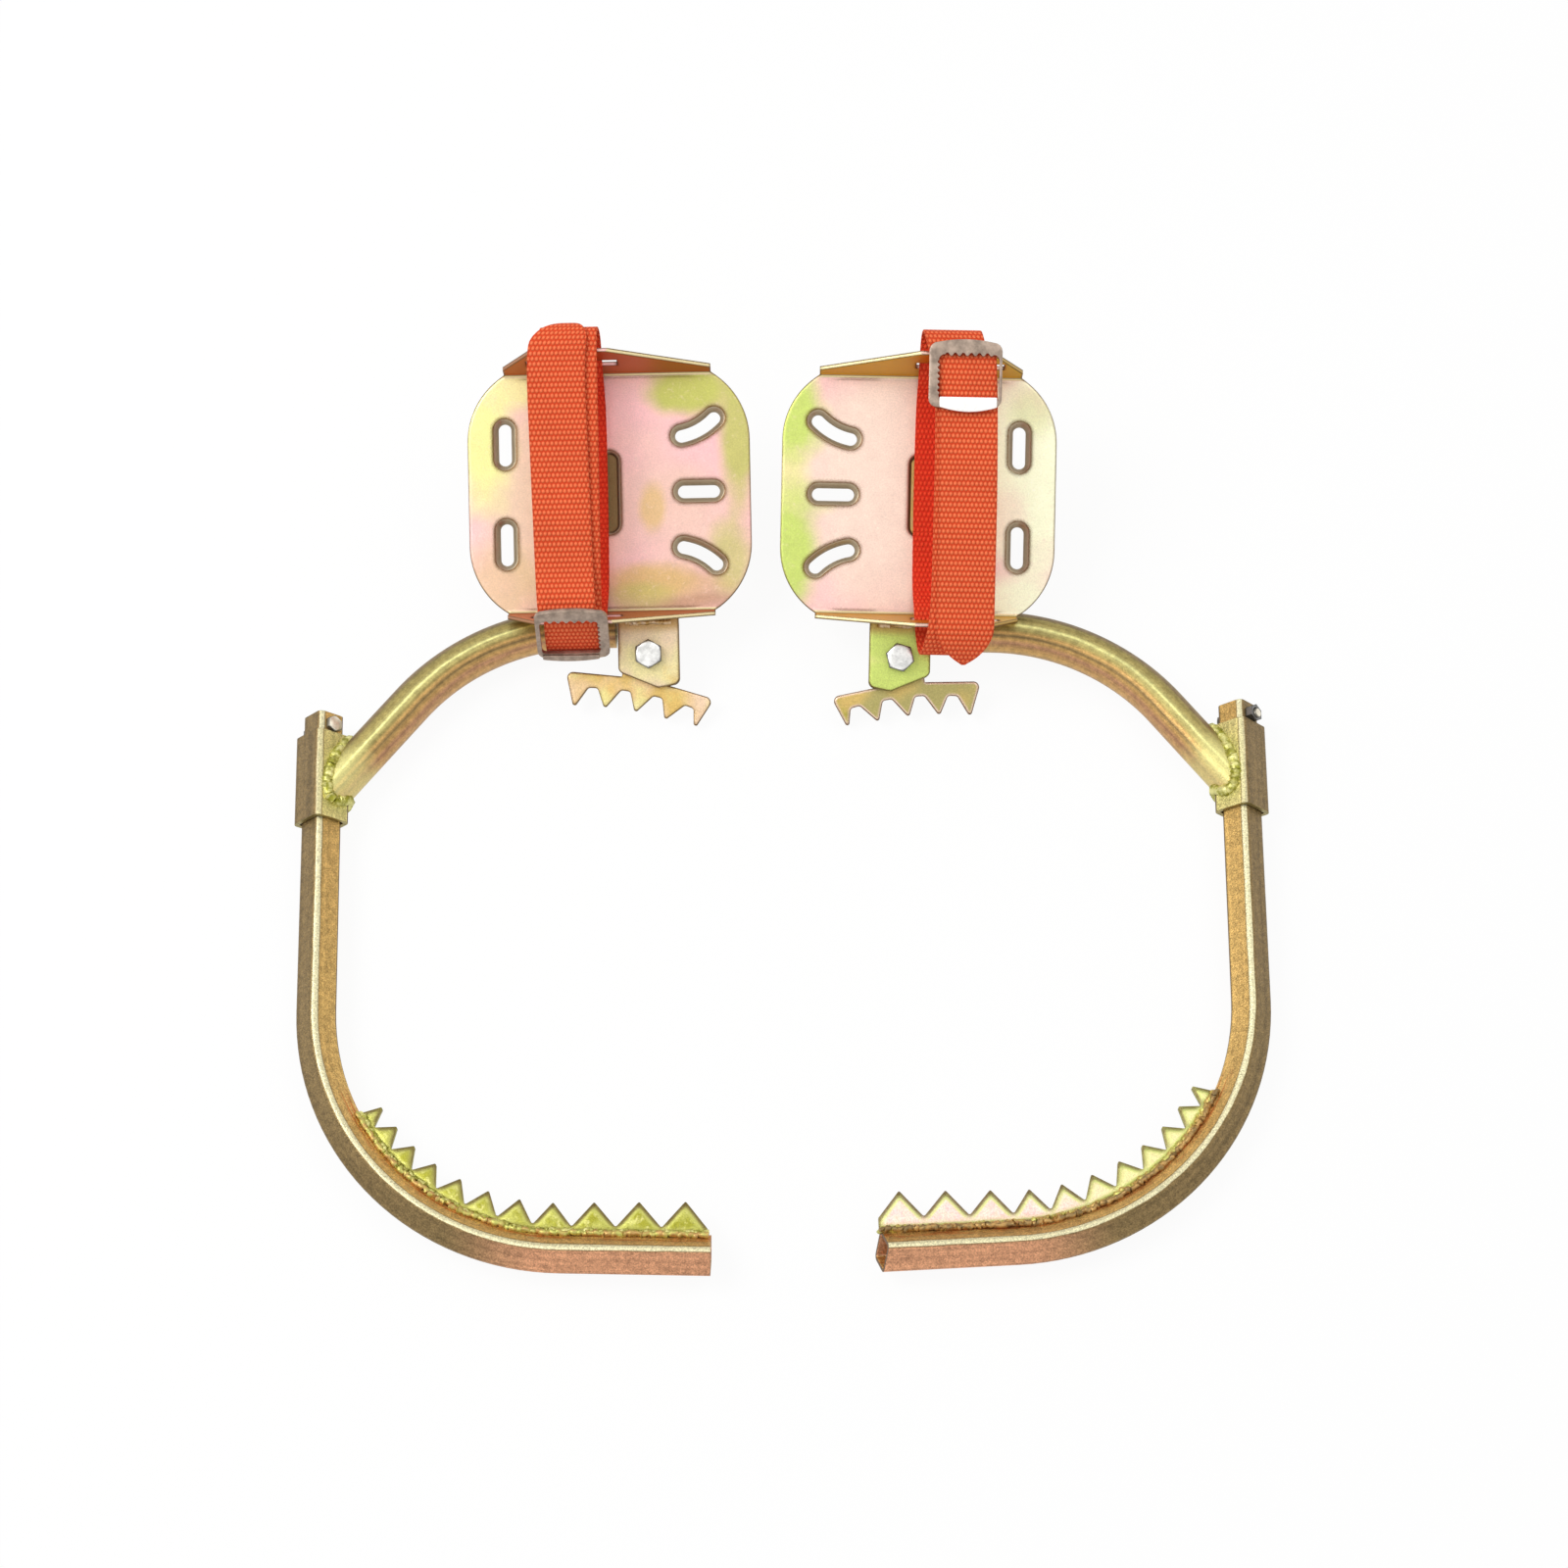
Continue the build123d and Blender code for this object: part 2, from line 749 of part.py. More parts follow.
def window_start():
    """Where the buckle's window begins, at its near bar."""
    return -buckle_length / 2 + buckle_near_bar


def make_buckle_frame(unit):
    window_width = buckle_width - buckle_rail_inner - buckle_rail_outer
    window_length = buckle_length - buckle_near_bar - buckle_far_bar
    corner_place = Pos(-buckle_width / 2 + buckle_rail_inner, window_start())
    window = corner_place * Rectangle(window_width, window_length, align=(Align.MIN, Align.MIN))
    ring = RectangleRounded(buckle_width, buckle_length, buckle_corner) - window
    frame = extrude(ring, buckle_height)
    groove_length = bar_depth + bar_travel + 2 * bar_clearance
    groove_height = bar_thickness + 2 * bar_clearance
    groove = Box(beyond, groove_length, groove_height, align=(Align.CENTER, Align.MIN, Align.CENTER))
    frame -= Pos(0, window_start(), buckle_height / 2) * groove
    return on_buckle(unit, frame)


def make_buckle_bar(unit):
    length = buckle_width + 2 * bar_length_out
    bar = Box(length, bar_depth, bar_thickness, align=(Align.CENTER, Align.MIN, Align.CENTER))
    return on_buckle(unit, Pos(0, window_start() + bar_clearance, buckle_height / 2) * bar)


# Putting a unit together
def make_unit(unit):
    pieces = {
        "foot_plate": make_foot_plate(unit),
        "arm_tube": make_arm(unit),
        "sleeve": make_sleeve(unit),
        "plate_brace": make_plate_brace(unit),
        "jaw_bracket": make_jaw_bracket(unit),
        "jaw": make_jaw(unit),
        "jaw_bolt": make_jaw_bolt(unit),
        "jaw_washer": make_jaw_washer(unit),
        "jaw_nut": make_jaw_nut(unit),
        "hook_tube": drill_for_stop(unit, make_hook_tube(unit)),
        "hook_teeth": make_hook_teeth(unit),
        "stop_bolt": make_stop_bolt(unit),
        "stop_nut": make_stop_nut(unit),
        "strap_lower_run": make_strap_lower_run(unit),
        "strap_upper_run": make_strap_upper_run(unit),
        "strap_tail": make_strap_tail(unit),
        "buckle_frame": make_buckle_frame(unit),
        "buckle_bar": make_buckle_bar(unit),
    }
    return {f"{unit.name}_{name}": place(unit, piece) for name, piece in pieces.items()}


def place(unit, shape):
    """Lays a unit out in the pair: mirrored for the left, turned a little, moved to its place."""
    if unit.side < 0:
        shape = mirror(shape, about=Plane.YZ)
    spot = Pos(unit.side * unit.sleeve_x, unit.sleeve_y, 0)
    return spot * Rot(0, 0, -unit.side * unit.turn) * shape


nodes = {**make_unit(left), **make_unit(right)}

# The origin is under the middle of the pair, on the ground
box = Compound(children=[Compound(piece.solids()) for piece in nodes.values()]).bounding_box()
ground = Pos(-box.center().X, -box.center().Y, -box.min.Z)

os.makedirs("parts", exist_ok=True)
for name, piece in nodes.items():
    solids = (ground * piece).solids()
    export_step(solids[0] if len(solids) == 1 else Compound(solids), f"parts/{name}.step")
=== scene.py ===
import json
import math
import random

import bpy
import numpy as np
from mathutils import Matrix, Vector
from mathutils.bvhtree import BVHTree


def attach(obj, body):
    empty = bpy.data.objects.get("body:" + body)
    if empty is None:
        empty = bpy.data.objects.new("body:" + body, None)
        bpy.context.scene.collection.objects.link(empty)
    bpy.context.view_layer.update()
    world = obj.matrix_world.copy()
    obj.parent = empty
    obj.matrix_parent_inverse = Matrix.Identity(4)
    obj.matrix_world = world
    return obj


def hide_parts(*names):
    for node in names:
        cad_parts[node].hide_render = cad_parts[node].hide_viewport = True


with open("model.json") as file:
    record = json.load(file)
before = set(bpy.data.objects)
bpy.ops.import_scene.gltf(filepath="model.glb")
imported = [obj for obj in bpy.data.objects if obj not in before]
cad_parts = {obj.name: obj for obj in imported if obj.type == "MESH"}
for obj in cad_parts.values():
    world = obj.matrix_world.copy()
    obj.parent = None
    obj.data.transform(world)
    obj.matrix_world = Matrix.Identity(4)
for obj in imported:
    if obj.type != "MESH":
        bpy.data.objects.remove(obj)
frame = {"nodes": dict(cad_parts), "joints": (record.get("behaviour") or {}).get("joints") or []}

bl_info = {
    "name": "Tree climbing spikes",
    "version": (1, 0, 0),
    "blender": (4, 5, 0),
    "location": "View3D > Sidebar > Spikes",
    "description": "Webbing, buckles, welds, fasteners and finishes for a pair of foot-hook tree climbers",
    "category": "Object",
}

SIDES = ("left", "right")
MM = 0.001
NEAR = 0.01 * MM
X, Y, Z = Vector((1, 0, 0)), Vector((0, 1, 0)), Vector((0, 0, 1))
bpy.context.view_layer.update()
NODES = frame["nodes"]
JOINTS = {joint["name"]: joint for joint in frame["joints"]}
RIM_HEIGHT = 31.412 * MM


# Places on the two units
def corners(node):
    return np.array([v.co for v in NODES[node].data.vertices], float).reshape(-1, 3)


def spans(node, *directions):
    """The low and the high end of a node along each direction."""
    cloud = corners(node)
    reaches = [cloud @ np.array(direction) for direction in directions]
    return [(float(reach.min()), float(reach.max())) for reach in reaches]


def node_middle(node, directions=(X, Y, Z), lows=()):
    """Middle of a node along three directions, or its low end along those named."""
    place = Vector()
    for i, (low, high) in enumerate(spans(node, *directions)):
        place += directions[i] * (low if i in lows else (low + high) / 2)
    return place


class FootPlate:
    """A foot plate's own directions: outward along it, across it towards its far flange, and up from it."""

    def __init__(self, side):
        self.up = Vector(JOINTS[f"{side}_jaw_pivot"]["axis"]).normalized()
        level = Vector((-self.up.y, self.up.x, 0)).normalized()
        self.outward = -level if side == "left" else level
        self.across = self.up.cross(level)
        along, sideways, height = spans(f"{side}_foot_plate", self.outward, self.across, self.up)
        self.middle = self.outward * (sum(along) / 2) + self.across * (sum(sideways) / 2)
        self.middle += self.up * (height[1] - RIM_HEIGHT)
        self.half_length = (along[1] - along[0]) / 2 / MM
        self.half_width = (sideways[1] - sideways[0]) / 2 / MM

    def at(self, along, sideways, height):
        """A place from millimetres outward, across and up."""
        return self.middle + self.outward * along * MM + self.across * sideways * MM + self.up * height * MM


PLATES = {side: FootPlate(side) for side in SIDES}


# Modelling helpers
def edit(on=True):
    bpy.ops.object.mode_set(mode="EDIT" if on else "OBJECT")


def edit_all():
    edit()
    bpy.ops.mesh.select_all(action="SELECT")


def deselect_all():
    if bpy.context.mode != "OBJECT":
        edit(False)
    bpy.ops.object.select_all(action="DESELECT")


def make_active(piece):
    deselect_all()
    piece.select_set(True)
    bpy.context.view_layer.objects.active = piece


def pick(piece, wanted, kind="VERT"):
    """Selects the corners that pass a test, or the edges whose two ends do, in edit mode."""
    bpy.ops.mesh.select_mode(type=kind)
    bpy.ops.mesh.select_all(action="DESELECT")
    edit(False)
    mesh = piece.data
    found = 0
    for element in mesh.vertices if kind == "VERT" else mesh.edges:
        ends = [element.co] if kind == "VERT" else [mesh.vertices[i].co for i in element.vertices]
        element.select = all(wanted(end) for end in ends)
        found += element.select
    edit()
    if not found:
        raise RuntimeError(f"nothing to select on {piece.name}")


def shift_picked(piece, wanted, move):
    pick(piece, wanted)
    bpy.ops.transform.translate(value=move)


def finish_modifier(piece, kind, **settings):
    make_active(piece)
    modifier = piece.modifiers.new(kind.title(), kind)
    for key, value in settings.items():
        setattr(modifier, key, value)
    bpy.ops.object.modifier_apply(modifier=modifier.name)


def soften(piece, width, segments, edge_angle, shade_angle):
    """Rounds the edges that turn by more than one angle and shades smooth what turns by less than another."""
    limit = math.radians(edge_angle)
    finish_modifier(piece, "BEVEL", width=width, segments=segments, limit_method="ANGLE", angle_limit=limit)
    smooth(piece, shade_angle)


def smooth(piece, angle):
    make_active(piece)
    bpy.ops.object.shade_smooth_by_angle(angle=math.radians(angle))


def settle(piece, place):
    """Moves a piece made about the origin to its place and leaves its object at the origin."""
    piece.matrix_world = place
    make_active(piece)
    bpy.ops.object.transform_apply(location=True, rotation=True, scale=True)


def seat(origin, along, facing):
    """A place with its first direction along one way and its third facing another."""
    third = facing.normalized()
    first = (along - third * along.dot(third)).normalized()
    second = third.cross(first)
    return Matrix.Translation(origin) @ Matrix((first, second, third)).transposed().to_4x4()


def new_piece(name):
    piece = bpy.context.view_layer.objects.active
    piece.name = name
    piece.data.name = name
    return piece


def flat_blank(name, wide, long):
    """A flat sheet about the origin, left selected in edit mode."""
    deselect_all()
    bpy.ops.mesh.primitive_plane_add(size=1, calc_uvs=False)
    piece = new_piece(name)
    edit_all()
    bpy.ops.transform.resize(value=(wide, long, 1))
    return piece


def draw_curve(name, kind, places, closed):
    """A curve with a point at each place, its object and its spline."""
    curve = bpy.data.curves.new(name, "CURVE")
    curve.dimensions = "3D"
    spline = curve.splines.new(kind)
    spline.points.add(len(places) - 1)
    for point, place in zip(spline.points, places):
        point.co = (*place, 1)
    spline.use_cyclic_u = closed
    holder = bpy.data.objects.new(name, curve)
    bpy.context.scene.collection.objects.link(holder)
    return curve, holder, spline


def route_line(places, closed, steps):
    """Points read from a smooth spline with these places as its control points."""
    curve, holder, spline = draw_curve("route", "NURBS", places, closed)
    spline.order_u = 3
    spline.use_endpoint_u = not closed
    spline.resolution_u = steps
    bpy.context.view_layer.update()
    line = bpy.data.meshes.new_from_object(holder)
    points = [v.co.copy() for v in line.vertices]
    bpy.data.objects.remove(holder)
    bpy.data.curves.remove(curve)
    bpy.data.meshes.remove(line)
    return points


def coat(piece, finish):
    piece.data.materials.clear()
    piece.data.materials.append(finish)


def dress(piece, body, finish, stands_for=()):
    coat(piece, finish)
    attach(piece, body)
    if stands_for:
        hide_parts(*stands_for)


# Shader helpers
def worked(operation, reflected=False):
    """A method that works on a Value and what it is given with one Math node."""

    def method(self, *others):
        parts = (*others, self) if reflected else (self, *others)
        node = self.finish.add("ShaderNodeMath", {"operation": operation}, dict(enumerate(parts)))
        return Value(self.finish, node.outputs[0])

    return method


class Value:
    """A number that changes over a surface. Arithmetic on it adds Math nodes."""

    def __init__(self, finish, socket):
        self.finish = finish
        self.socket = socket

    __add__ = worked("ADD")
    __radd__ = worked("ADD", True)
    __sub__ = worked("SUBTRACT")
    __rsub__ = worked("SUBTRACT", True)
    __mul__ = worked("MULTIPLY")
    __rmul__ = worked("MULTIPLY", True)
    __truediv__ = worked("DIVIDE")
    __rtruediv__ = worked("DIVIDE", True)
    most = worked("MAXIMUM")
    part = worked("FRACT")
    whole = worked("FLOOR")
    root = worked("SQRT")

    def rise(self, low, high):
        """0 below low, 1 above high and smooth between."""
        sockets = {0: self, 1: low, 2: high, 3: 0.0, 4: 1.0}
        node = self.finish.add("ShaderNodeMapRange", {"interpolation_type": "SMOOTHSTEP"}, sockets)
        return Value(self.finish, node.outputs[0])


def colour_of(tone):
    """A colour as it is given, or the plating's tone of that name."""
    return getattr(bpy.context.scene.spikes_plating, tone) if isinstance(tone, str) else tone


class Finish:
    """One surface finish, or a world's light, and the nodes that make it."""

    def __init__(self, name, world=False):
        self.owner = (bpy.data.worlds if world else bpy.data.materials).new(name)
        self.owner.use_nodes = True
        self.tree = self.owner.node_tree
        self.tree.nodes.clear()
        self.coordinates = None

    def add(self, kind, settings=None, sockets=None):
        node = self.tree.nodes.new(kind)
        for key, value in (settings or {}).items():
            setattr(node, key, value)
        for key, value in (sockets or {}).items():
            target = node.inputs[key]
            if isinstance(value, Value):
                value = value.socket
            if isinstance(value, bpy.types.NodeSocket):
                self.tree.links.new(value, target)
            elif target.type == "RGBA":
                target.default_value = (*colour_of(value), 1)
            else:
                target.default_value = value
        return node

    def coordinate(self, kind="Object"):
        if self.coordinates is None:
            self.coordinates = self.add("ShaderNodeTexCoord")
        return self.coordinates.outputs[kind]

    def split(self, vector):
        node = self.add("ShaderNodeSeparateXYZ", None, {0: vector})
        return [Value(self, socket) for socket in node.outputs]

    def vector(self, operation, first, second=(0, 0, 0)):
        """What a Vector Math node makes of two vectors: a vector, or a number where that is what it gives."""
        node = self.add("ShaderNodeVectorMath", {"operation": operation}, {0: first, 1: second})
        if operation in ("DOT_PRODUCT", "DISTANCE"):
            return Value(self, node.outputs["Value"])
        return node.outputs[0]

    def distance(self, origin, direction):
        """How far a point lies from an origin in one direction, in metres."""
        return self.vector("DOT_PRODUCT", self.coordinate(), direction) - origin.dot(direction)

    def facing(self, direction):
        """How squarely a surface faces a direction, from -1 to 1."""
        return self.vector("DOT_PRODUCT", self.coordinate("Normal"), direction)

    def noise(self, scale, detail=2.0, roughness=0.5, vector=None):
        sockets = {"Scale": scale, "Detail": detail, "Roughness": roughness}
        sockets["Vector"] = vector or self.coordinate()
        return Value(self, self.add("ShaderNodeTexNoise", None, sockets).outputs[0])

    def stray(self, scale, reach):
        """A number that wanders to both sides of 0."""
        return (self.noise(scale) - 0.5) * reach

    def streaks(self, detail, *parts):
        """Noise that is drawn out along three changing numbers."""
        vector = self.add("ShaderNodeCombineXYZ", None, dict(enumerate(parts))).outputs[0]
        return self.noise(1.0, detail, vector=vector)

    def ramp(self, place, stops):
        """Tones that follow each other along a changing number."""
        node = self.add("ShaderNodeValToRGB", None, {0: place})
        elements = node.color_ramp.elements
        while len(elements) < len(stops):
            elements.new(1.0)
        for element, (position, tone) in zip(elements, stops):
            element.position = position
            element.color = (*colour_of(tone), 1)
        return node.outputs[0]

    def mix(self, amount, first, second, blend="MIX"):
        settings = {"data_type": "RGBA", "blend_type": blend, "clamp_factor": True}
        return self.add("ShaderNodeMix", settings, {0: amount, 6: first, 7: second}).outputs[2]

    def shade(self, colour, amount):
        """A colour made lighter or darker by a changing amount."""
        grey = self.add("ShaderNodeCombineColor", None, {0: amount, 1: amount, 2: amount})
        return self.mix(1.0, colour, grey.outputs[0], "MULTIPLY")

    def bump(self, height, distance, strength, normal=None):
        sockets = {"Height": height, "Distance": distance, "Strength": strength}
        if normal is not None:
            sockets["Normal"] = normal
        return self.add("ShaderNodeBump", None, sockets).outputs[0]

    def seen(self):
        """1 where it is looked at, also in a reflection or through something clear, and 0 for its light."""
        rays = self.add("ShaderNodeLightPath").outputs
        seen = Value(self, rays["Is Camera Ray"])
        return seen.most(rays["Is Glossy Ray"]).most(rays["Is Transmission Ray"])

    def surface(self, colour, metallic, roughness, normal, specular=0.5):
        sockets = {"Base Color": colour, "Metallic": metallic, "Roughness": roughness, "Normal": normal}
        sockets["Specular IOR Level"] = specular
        shader = self.add("ShaderNodeBsdfPrincipled", None, sockets)
        self.add("ShaderNodeOutputMaterial", None, {0: shader.outputs[0]})
        return self.owner


# Sizes and colours that a user would change
def length_setting(name, description, default):
    return bpy.props.FloatProperty(name=name, description=description, default=default, unit="LENGTH")


def colour_setting(name, description, default):
    return bpy.props.FloatVectorProperty(name=name, description=description, default=default, subtype="COLOR")


class WebbingSettings(bpy.types.PropertyGroup):
    width: length_setting("Width", "Width of the webbing", 0.029)
    thickness: length_setting("Thickness", "Thickness of the webbing", 0.0016)
    row_pitch: length_setting("Row pitch", "Distance between rows of the weave", 0.00265)
    stitch_pitch: length_setting("Stitch pitch", "Distance between yarns in a row", 0.00215)
    yarn_colour: colour_setting("Yarn", "Colour of the raised yarns", (1.0, 0.215, 0.085))
    gap_colour: colour_setting("Gaps", "Colour between the yarns", (0.66, 0.057, 0.014))
    # Low yarn and low gaps: painted shade, darker and redder webbing where it lies close to the plate under
    # the other layers.
    shaded_yarn_colour: colour_setting("Low yarn", "Yarn colour close to the plate", (0.98, 0.075, 0.026))
    shaded_gap_colour: colour_setting("Low gaps", "Gap colour close to the plate", (0.74, 0.03, 0.01))


class BuckleSettings(bpy.types.PropertyGroup):
    width: length_setting("Width", "Width of the buckle frame", 0.0364)
    length: length_setting("Length", "Length of the buckle frame", 0.0325)
    sheet: length_setting("Sheet", "Thickness of the pressed frame", 0.0024)
    teeth: bpy.props.IntProperty(
        name="Teeth", description="Number of waves on the gripping edge", default=6, min=2, max=9
    )
    colour: colour_setting("Colour", "Colour of the dull plating", (0.395, 0.305, 0.245))
    bar_colour: colour_setting("Bar colour", "Colour of the worn grip bar", (0.95, 0.95, 0.94))


class WeldSettings(bpy.types.PropertyGroup):
    bead: length_setting("Bead", "Radius of the weld bead on the sleeve", 0.0033)
    ribbon: length_setting("Ribbon", "Radius of the weld along the toothed strip", 0.0018)
    ripple: length_setting("Ripple", "Distance between the ripples of a bead", 0.0018)


class PlatingSettings(bpy.types.PropertyGroup):
    pink: colour_setting("Pink", "Rosy plating", (0.94, 0.54, 0.56))
    cream: colour_setting("Cream", "Pale plating", (0.78, 0.6, 0.42))
    lime: colour_setting("Lime", "Green-yellow plating", (0.54, 0.54, 0.144))
    yellow: colour_setting("Yellow", "Lemon plating", (0.83, 0.79, 0.33))
    leaf: colour_setting("Leaf", "Greenest plating", (0.59, 0.7, 0.18))
    khaki: colour_setting("Khaki", "Dull yellow plating", (0.435, 0.38, 0.145))
    gold: colour_setting("Gold", "Golden plating", (0.54, 0.33, 0.115))
    brown: colour_setting("Brown", "Dark plating", (0.234, 0.16, 0.068))
    tan: colour_setting("Tan", "Orange plating", (0.45, 0.24, 0.135))
    moss: colour_setting("Moss", "Dull tone of the round arms", (0.34, 0.275, 0.095))
    straw: colour_setting("Straw", "Bright tone of the sleeves", (0.80, 0.70, 0.30))
    coral: colour_setting("Coral", "Pink-orange tone of the hook's foot", (0.62, 0.31, 0.172))
    shell: colour_setting("Shell", "Palest rosy plating", (0.94, 0.71, 0.6))
    lemon: colour_setting("Pale lemon", "Palest yellow plating", (1.0, 1.0, 0.72))
    # Rust: the tone of scorch marks by the welds, and painted shade on the left plate's flanges.
    rust_and_shade: colour_setting("Rust", "Red-brown tone of shaded plating", (0.53, 0.138, 0.028))
    amber: colour_setting("Amber", "Warm tone of shaded plating", (0.635, 0.378, 0.026))
    honey: colour_setting("Honey", "Bright golden plating", (0.73, 0.5, 0.16))
    # Shadow: painted shade, used for dark lines along edges, rings round the slots, cut tube ends and the
    # left brace.
    shadow: colour_setting("Shadow", "Tone of plating deep in slots", (0.15, 0.075, 0.022))
    # Rim: painted light, a lighter tan given to the slopes round the slots by the way they face.
    rim: colour_setting("Rim", "Worn tone on the rims of the slots", (0.44, 0.36, 0.25))
    # Ridge: a painted highlight along the top ridge of the hooks and sleeves.
    ridge: colour_setting("Ridge", "Worn tone along the hook's top ridge", (0.68, 0.63, 0.4))
    olive: colour_setting("Olive", "Dark green plating", (0.34, 0.33, 0.036))


class StageSettings(bpy.types.PropertyGroup):
    eye: bpy.props.FloatVectorProperty(
        name="Eye",
        description="Place of the camera",
        default=(0.00137, -0.5220, 1.2274),
        subtype="TRANSLATION",
        unit="LENGTH",
    )
    tilt: bpy.props.FloatProperty(
        name="Tilt",
        description="Tilt of the camera from straight down",
        default=math.radians(24),
        subtype="ANGLE",
    )
    lens: bpy.props.FloatProperty(name="Lens", description="Focal length in millimetres", default=60.75)
    floor_size: length_setting("Floor", "Width of the floor", 12.0)


# Finishes
def webbing_finish(side):
    settings = bpy.context.scene.spikes_webbing
    plate = PLATES[side]
    finish = Finish(f"woven_webbing_{side}")
    weave = finish.add("ShaderNodeUVMap", {"uv_map": "weave"}).outputs[0]
    along, across, _ = finish.split(weave)
    row = along / settings.row_pitch
    from_row = row.part() - 0.5
    from_yarn = (across / settings.stitch_pitch + row.whole() * 0.5).part() - 0.5
    yarn = (1 - from_row * from_row * 5.0 - from_yarn * from_yarn * 4.6).most(0.0)
    fibre = finish.noise(1600)
    worn = finish.noise(38)
    # Webbing close to the plate takes the darker, redder colours: painted shade.
    high = finish.distance(plate.middle, plate.up).rise(5 * MM, 30 * MM)
    gaps = finish.mix(high, settings.shaded_gap_colour, settings.gap_colour)
    yarns = finish.mix(high, settings.shaded_yarn_colour, settings.yarn_colour)
    # Darker along the webbing's edges: edge yarns, and painted shade where the layers lie over each other.
    edge_yarn_shade = (across * across).root().rise(settings.width * 0.45, settings.width * 0.485)
    colour = finish.mix(yarn.root(), gaps, yarns)
    colour = finish.shade(colour, 0.8 + fibre * 0.22 + worn * 0.24 - edge_yarn_shade * 0.12)
    normal = finish.bump(yarn + fibre * 0.2, 0.7 * MM, 0.9)
    return finish.surface(colour, 0.0, 0.68 + fibre * 0.2, normal, specular=0.2)


def outward_face(finish, centre, hook_side):
    """How much a surface faces away from a centre, from -1 to 1. A hook's legs run straight from its bend."""
    away = finish.vector("SUBTRACT", finish.coordinate(), centre)
    flip = (1, 1, 0)
    if hook_side:
        flip = (-hook_side, 1, 0)
        away = finish.vector("MINIMUM", finish.vector("MULTIPLY", away, flip), (0, 0, 0))
    level = finish.vector("NORMALIZE", finish.vector("MULTIPLY", away, flip))
    return finish.vector("DOT_PRODUCT", level, finish.coordinate("Normal"))


def edge_turn(finish, radius):
    """A normal that rounds sharp edges, and how far it turns from the true one."""
    rounded = finish.add("ShaderNodeBevel", {"samples": 8}, {"Radius": radius}).outputs[0]
    facing = finish.add("ShaderNodeNewGeometry").outputs["Normal"]
    return rounded, 1 - finish.vector("DOT_PRODUCT", rounded, facing)


PLAIN_EDGES = (0.7 * MM, None, None, 1.0)


def plated_surface(finish, colour, speckle, edges=PLAIN_EDGES):
    """Zinc-plated steel over a changing colour: fine grain, flecks, softly rounded edges, painted highlight
    and shade on them.
    """
    grain = finish.noise(1300, 3.0, 0.65).rise(0.28, 0.72)
    cloud = finish.noise(120, 3.0, 0.6)
    fleck = finish.noise(520, 2.0, 0.6).rise(0.6, 0.78)
    colour = finish.shade(colour, 0.91 - speckle * 0.5 + grain * speckle + cloud * 0.16 + fleck * 0.12)
    reach, edge_highlight, line, where = edges
    rounded, turn = edge_turn(finish, reach)
    # A painted highlight in a band along the edges, and painted shade in a line along them.
    if edge_highlight:
        colour = finish.mix(turn.rise(0.002, 0.02) * 0.8, colour, edge_highlight)
    if line:
        colour = finish.mix(turn.rise(0.06, 0.13) * 0.9 * where, colour, line)
    normal = finish.bump(grain + cloud, (0.03 + speckle * 0.12) * MM, 0.8, rounded)
    return finish.surface(colour, 0.82, 0.3 + grain * 0.1 + cloud * 0.08, normal)


# Patches on each plate: tone, middle outward and across, half width and half height in millimetres, strength
PLATE_PATCHES = {
    "left": [
        ("cream", 40, 0, 24, 60, 0.75),
        ("yellow", 64, 26, 16, 34, 1.0),
        ("yellow", 46, 54, 22, 12, 0.8),
        ("lime", -42, 52, 24, 15, 1.0),
        ("lime", -66, 26, 11, 40, 0.9),
        ("lime", -62, -34, 12, 22, 0.7),
        ("honey", -22, -8, 7, 13, 0.65),
        ("gold", -28, -50, 36, 14, 0.5),
        ("honey", -22, -46, 24, 10, 0.6),
        ("lime", -14, -54, 20, 8, 0.5),
        ("yellow", 56, -46, 28, 22, 0.3),
        ("gold", 56, -46, 28, 22, 0.3),
        ("tan", -50, -58, 30, 6, 0.5),
    ],
    "right": [
        ("shell", 0, 0, 80, 80, 1.0),
        # Pale lemon towards the right plate's outer end is pale plating and also a painted highlight.
        ("lemon", 54, 10, 30, 66, 1.0),
        ("yellow", -70, 4, 14, 34, 0.8),
        ("leaf", -64, 42, 16, 26, 1.0),
        ("leaf", -67, -30, 17, 36, 1.0),
        ("leaf", -52, -2, 14, 9, 0.4),
        ("lime", 58, 46, 14, 14, 0.35),
        ("shell", 46, -10, 12, 18, 0.5),
        ("lemon", 48, -54, 30, 18, 0.9),
    ],
}
# Painted shade on each plate's flanges.
FLANGE_SHADE_TONES = {"left": "rust_and_shade", "right": "amber"}


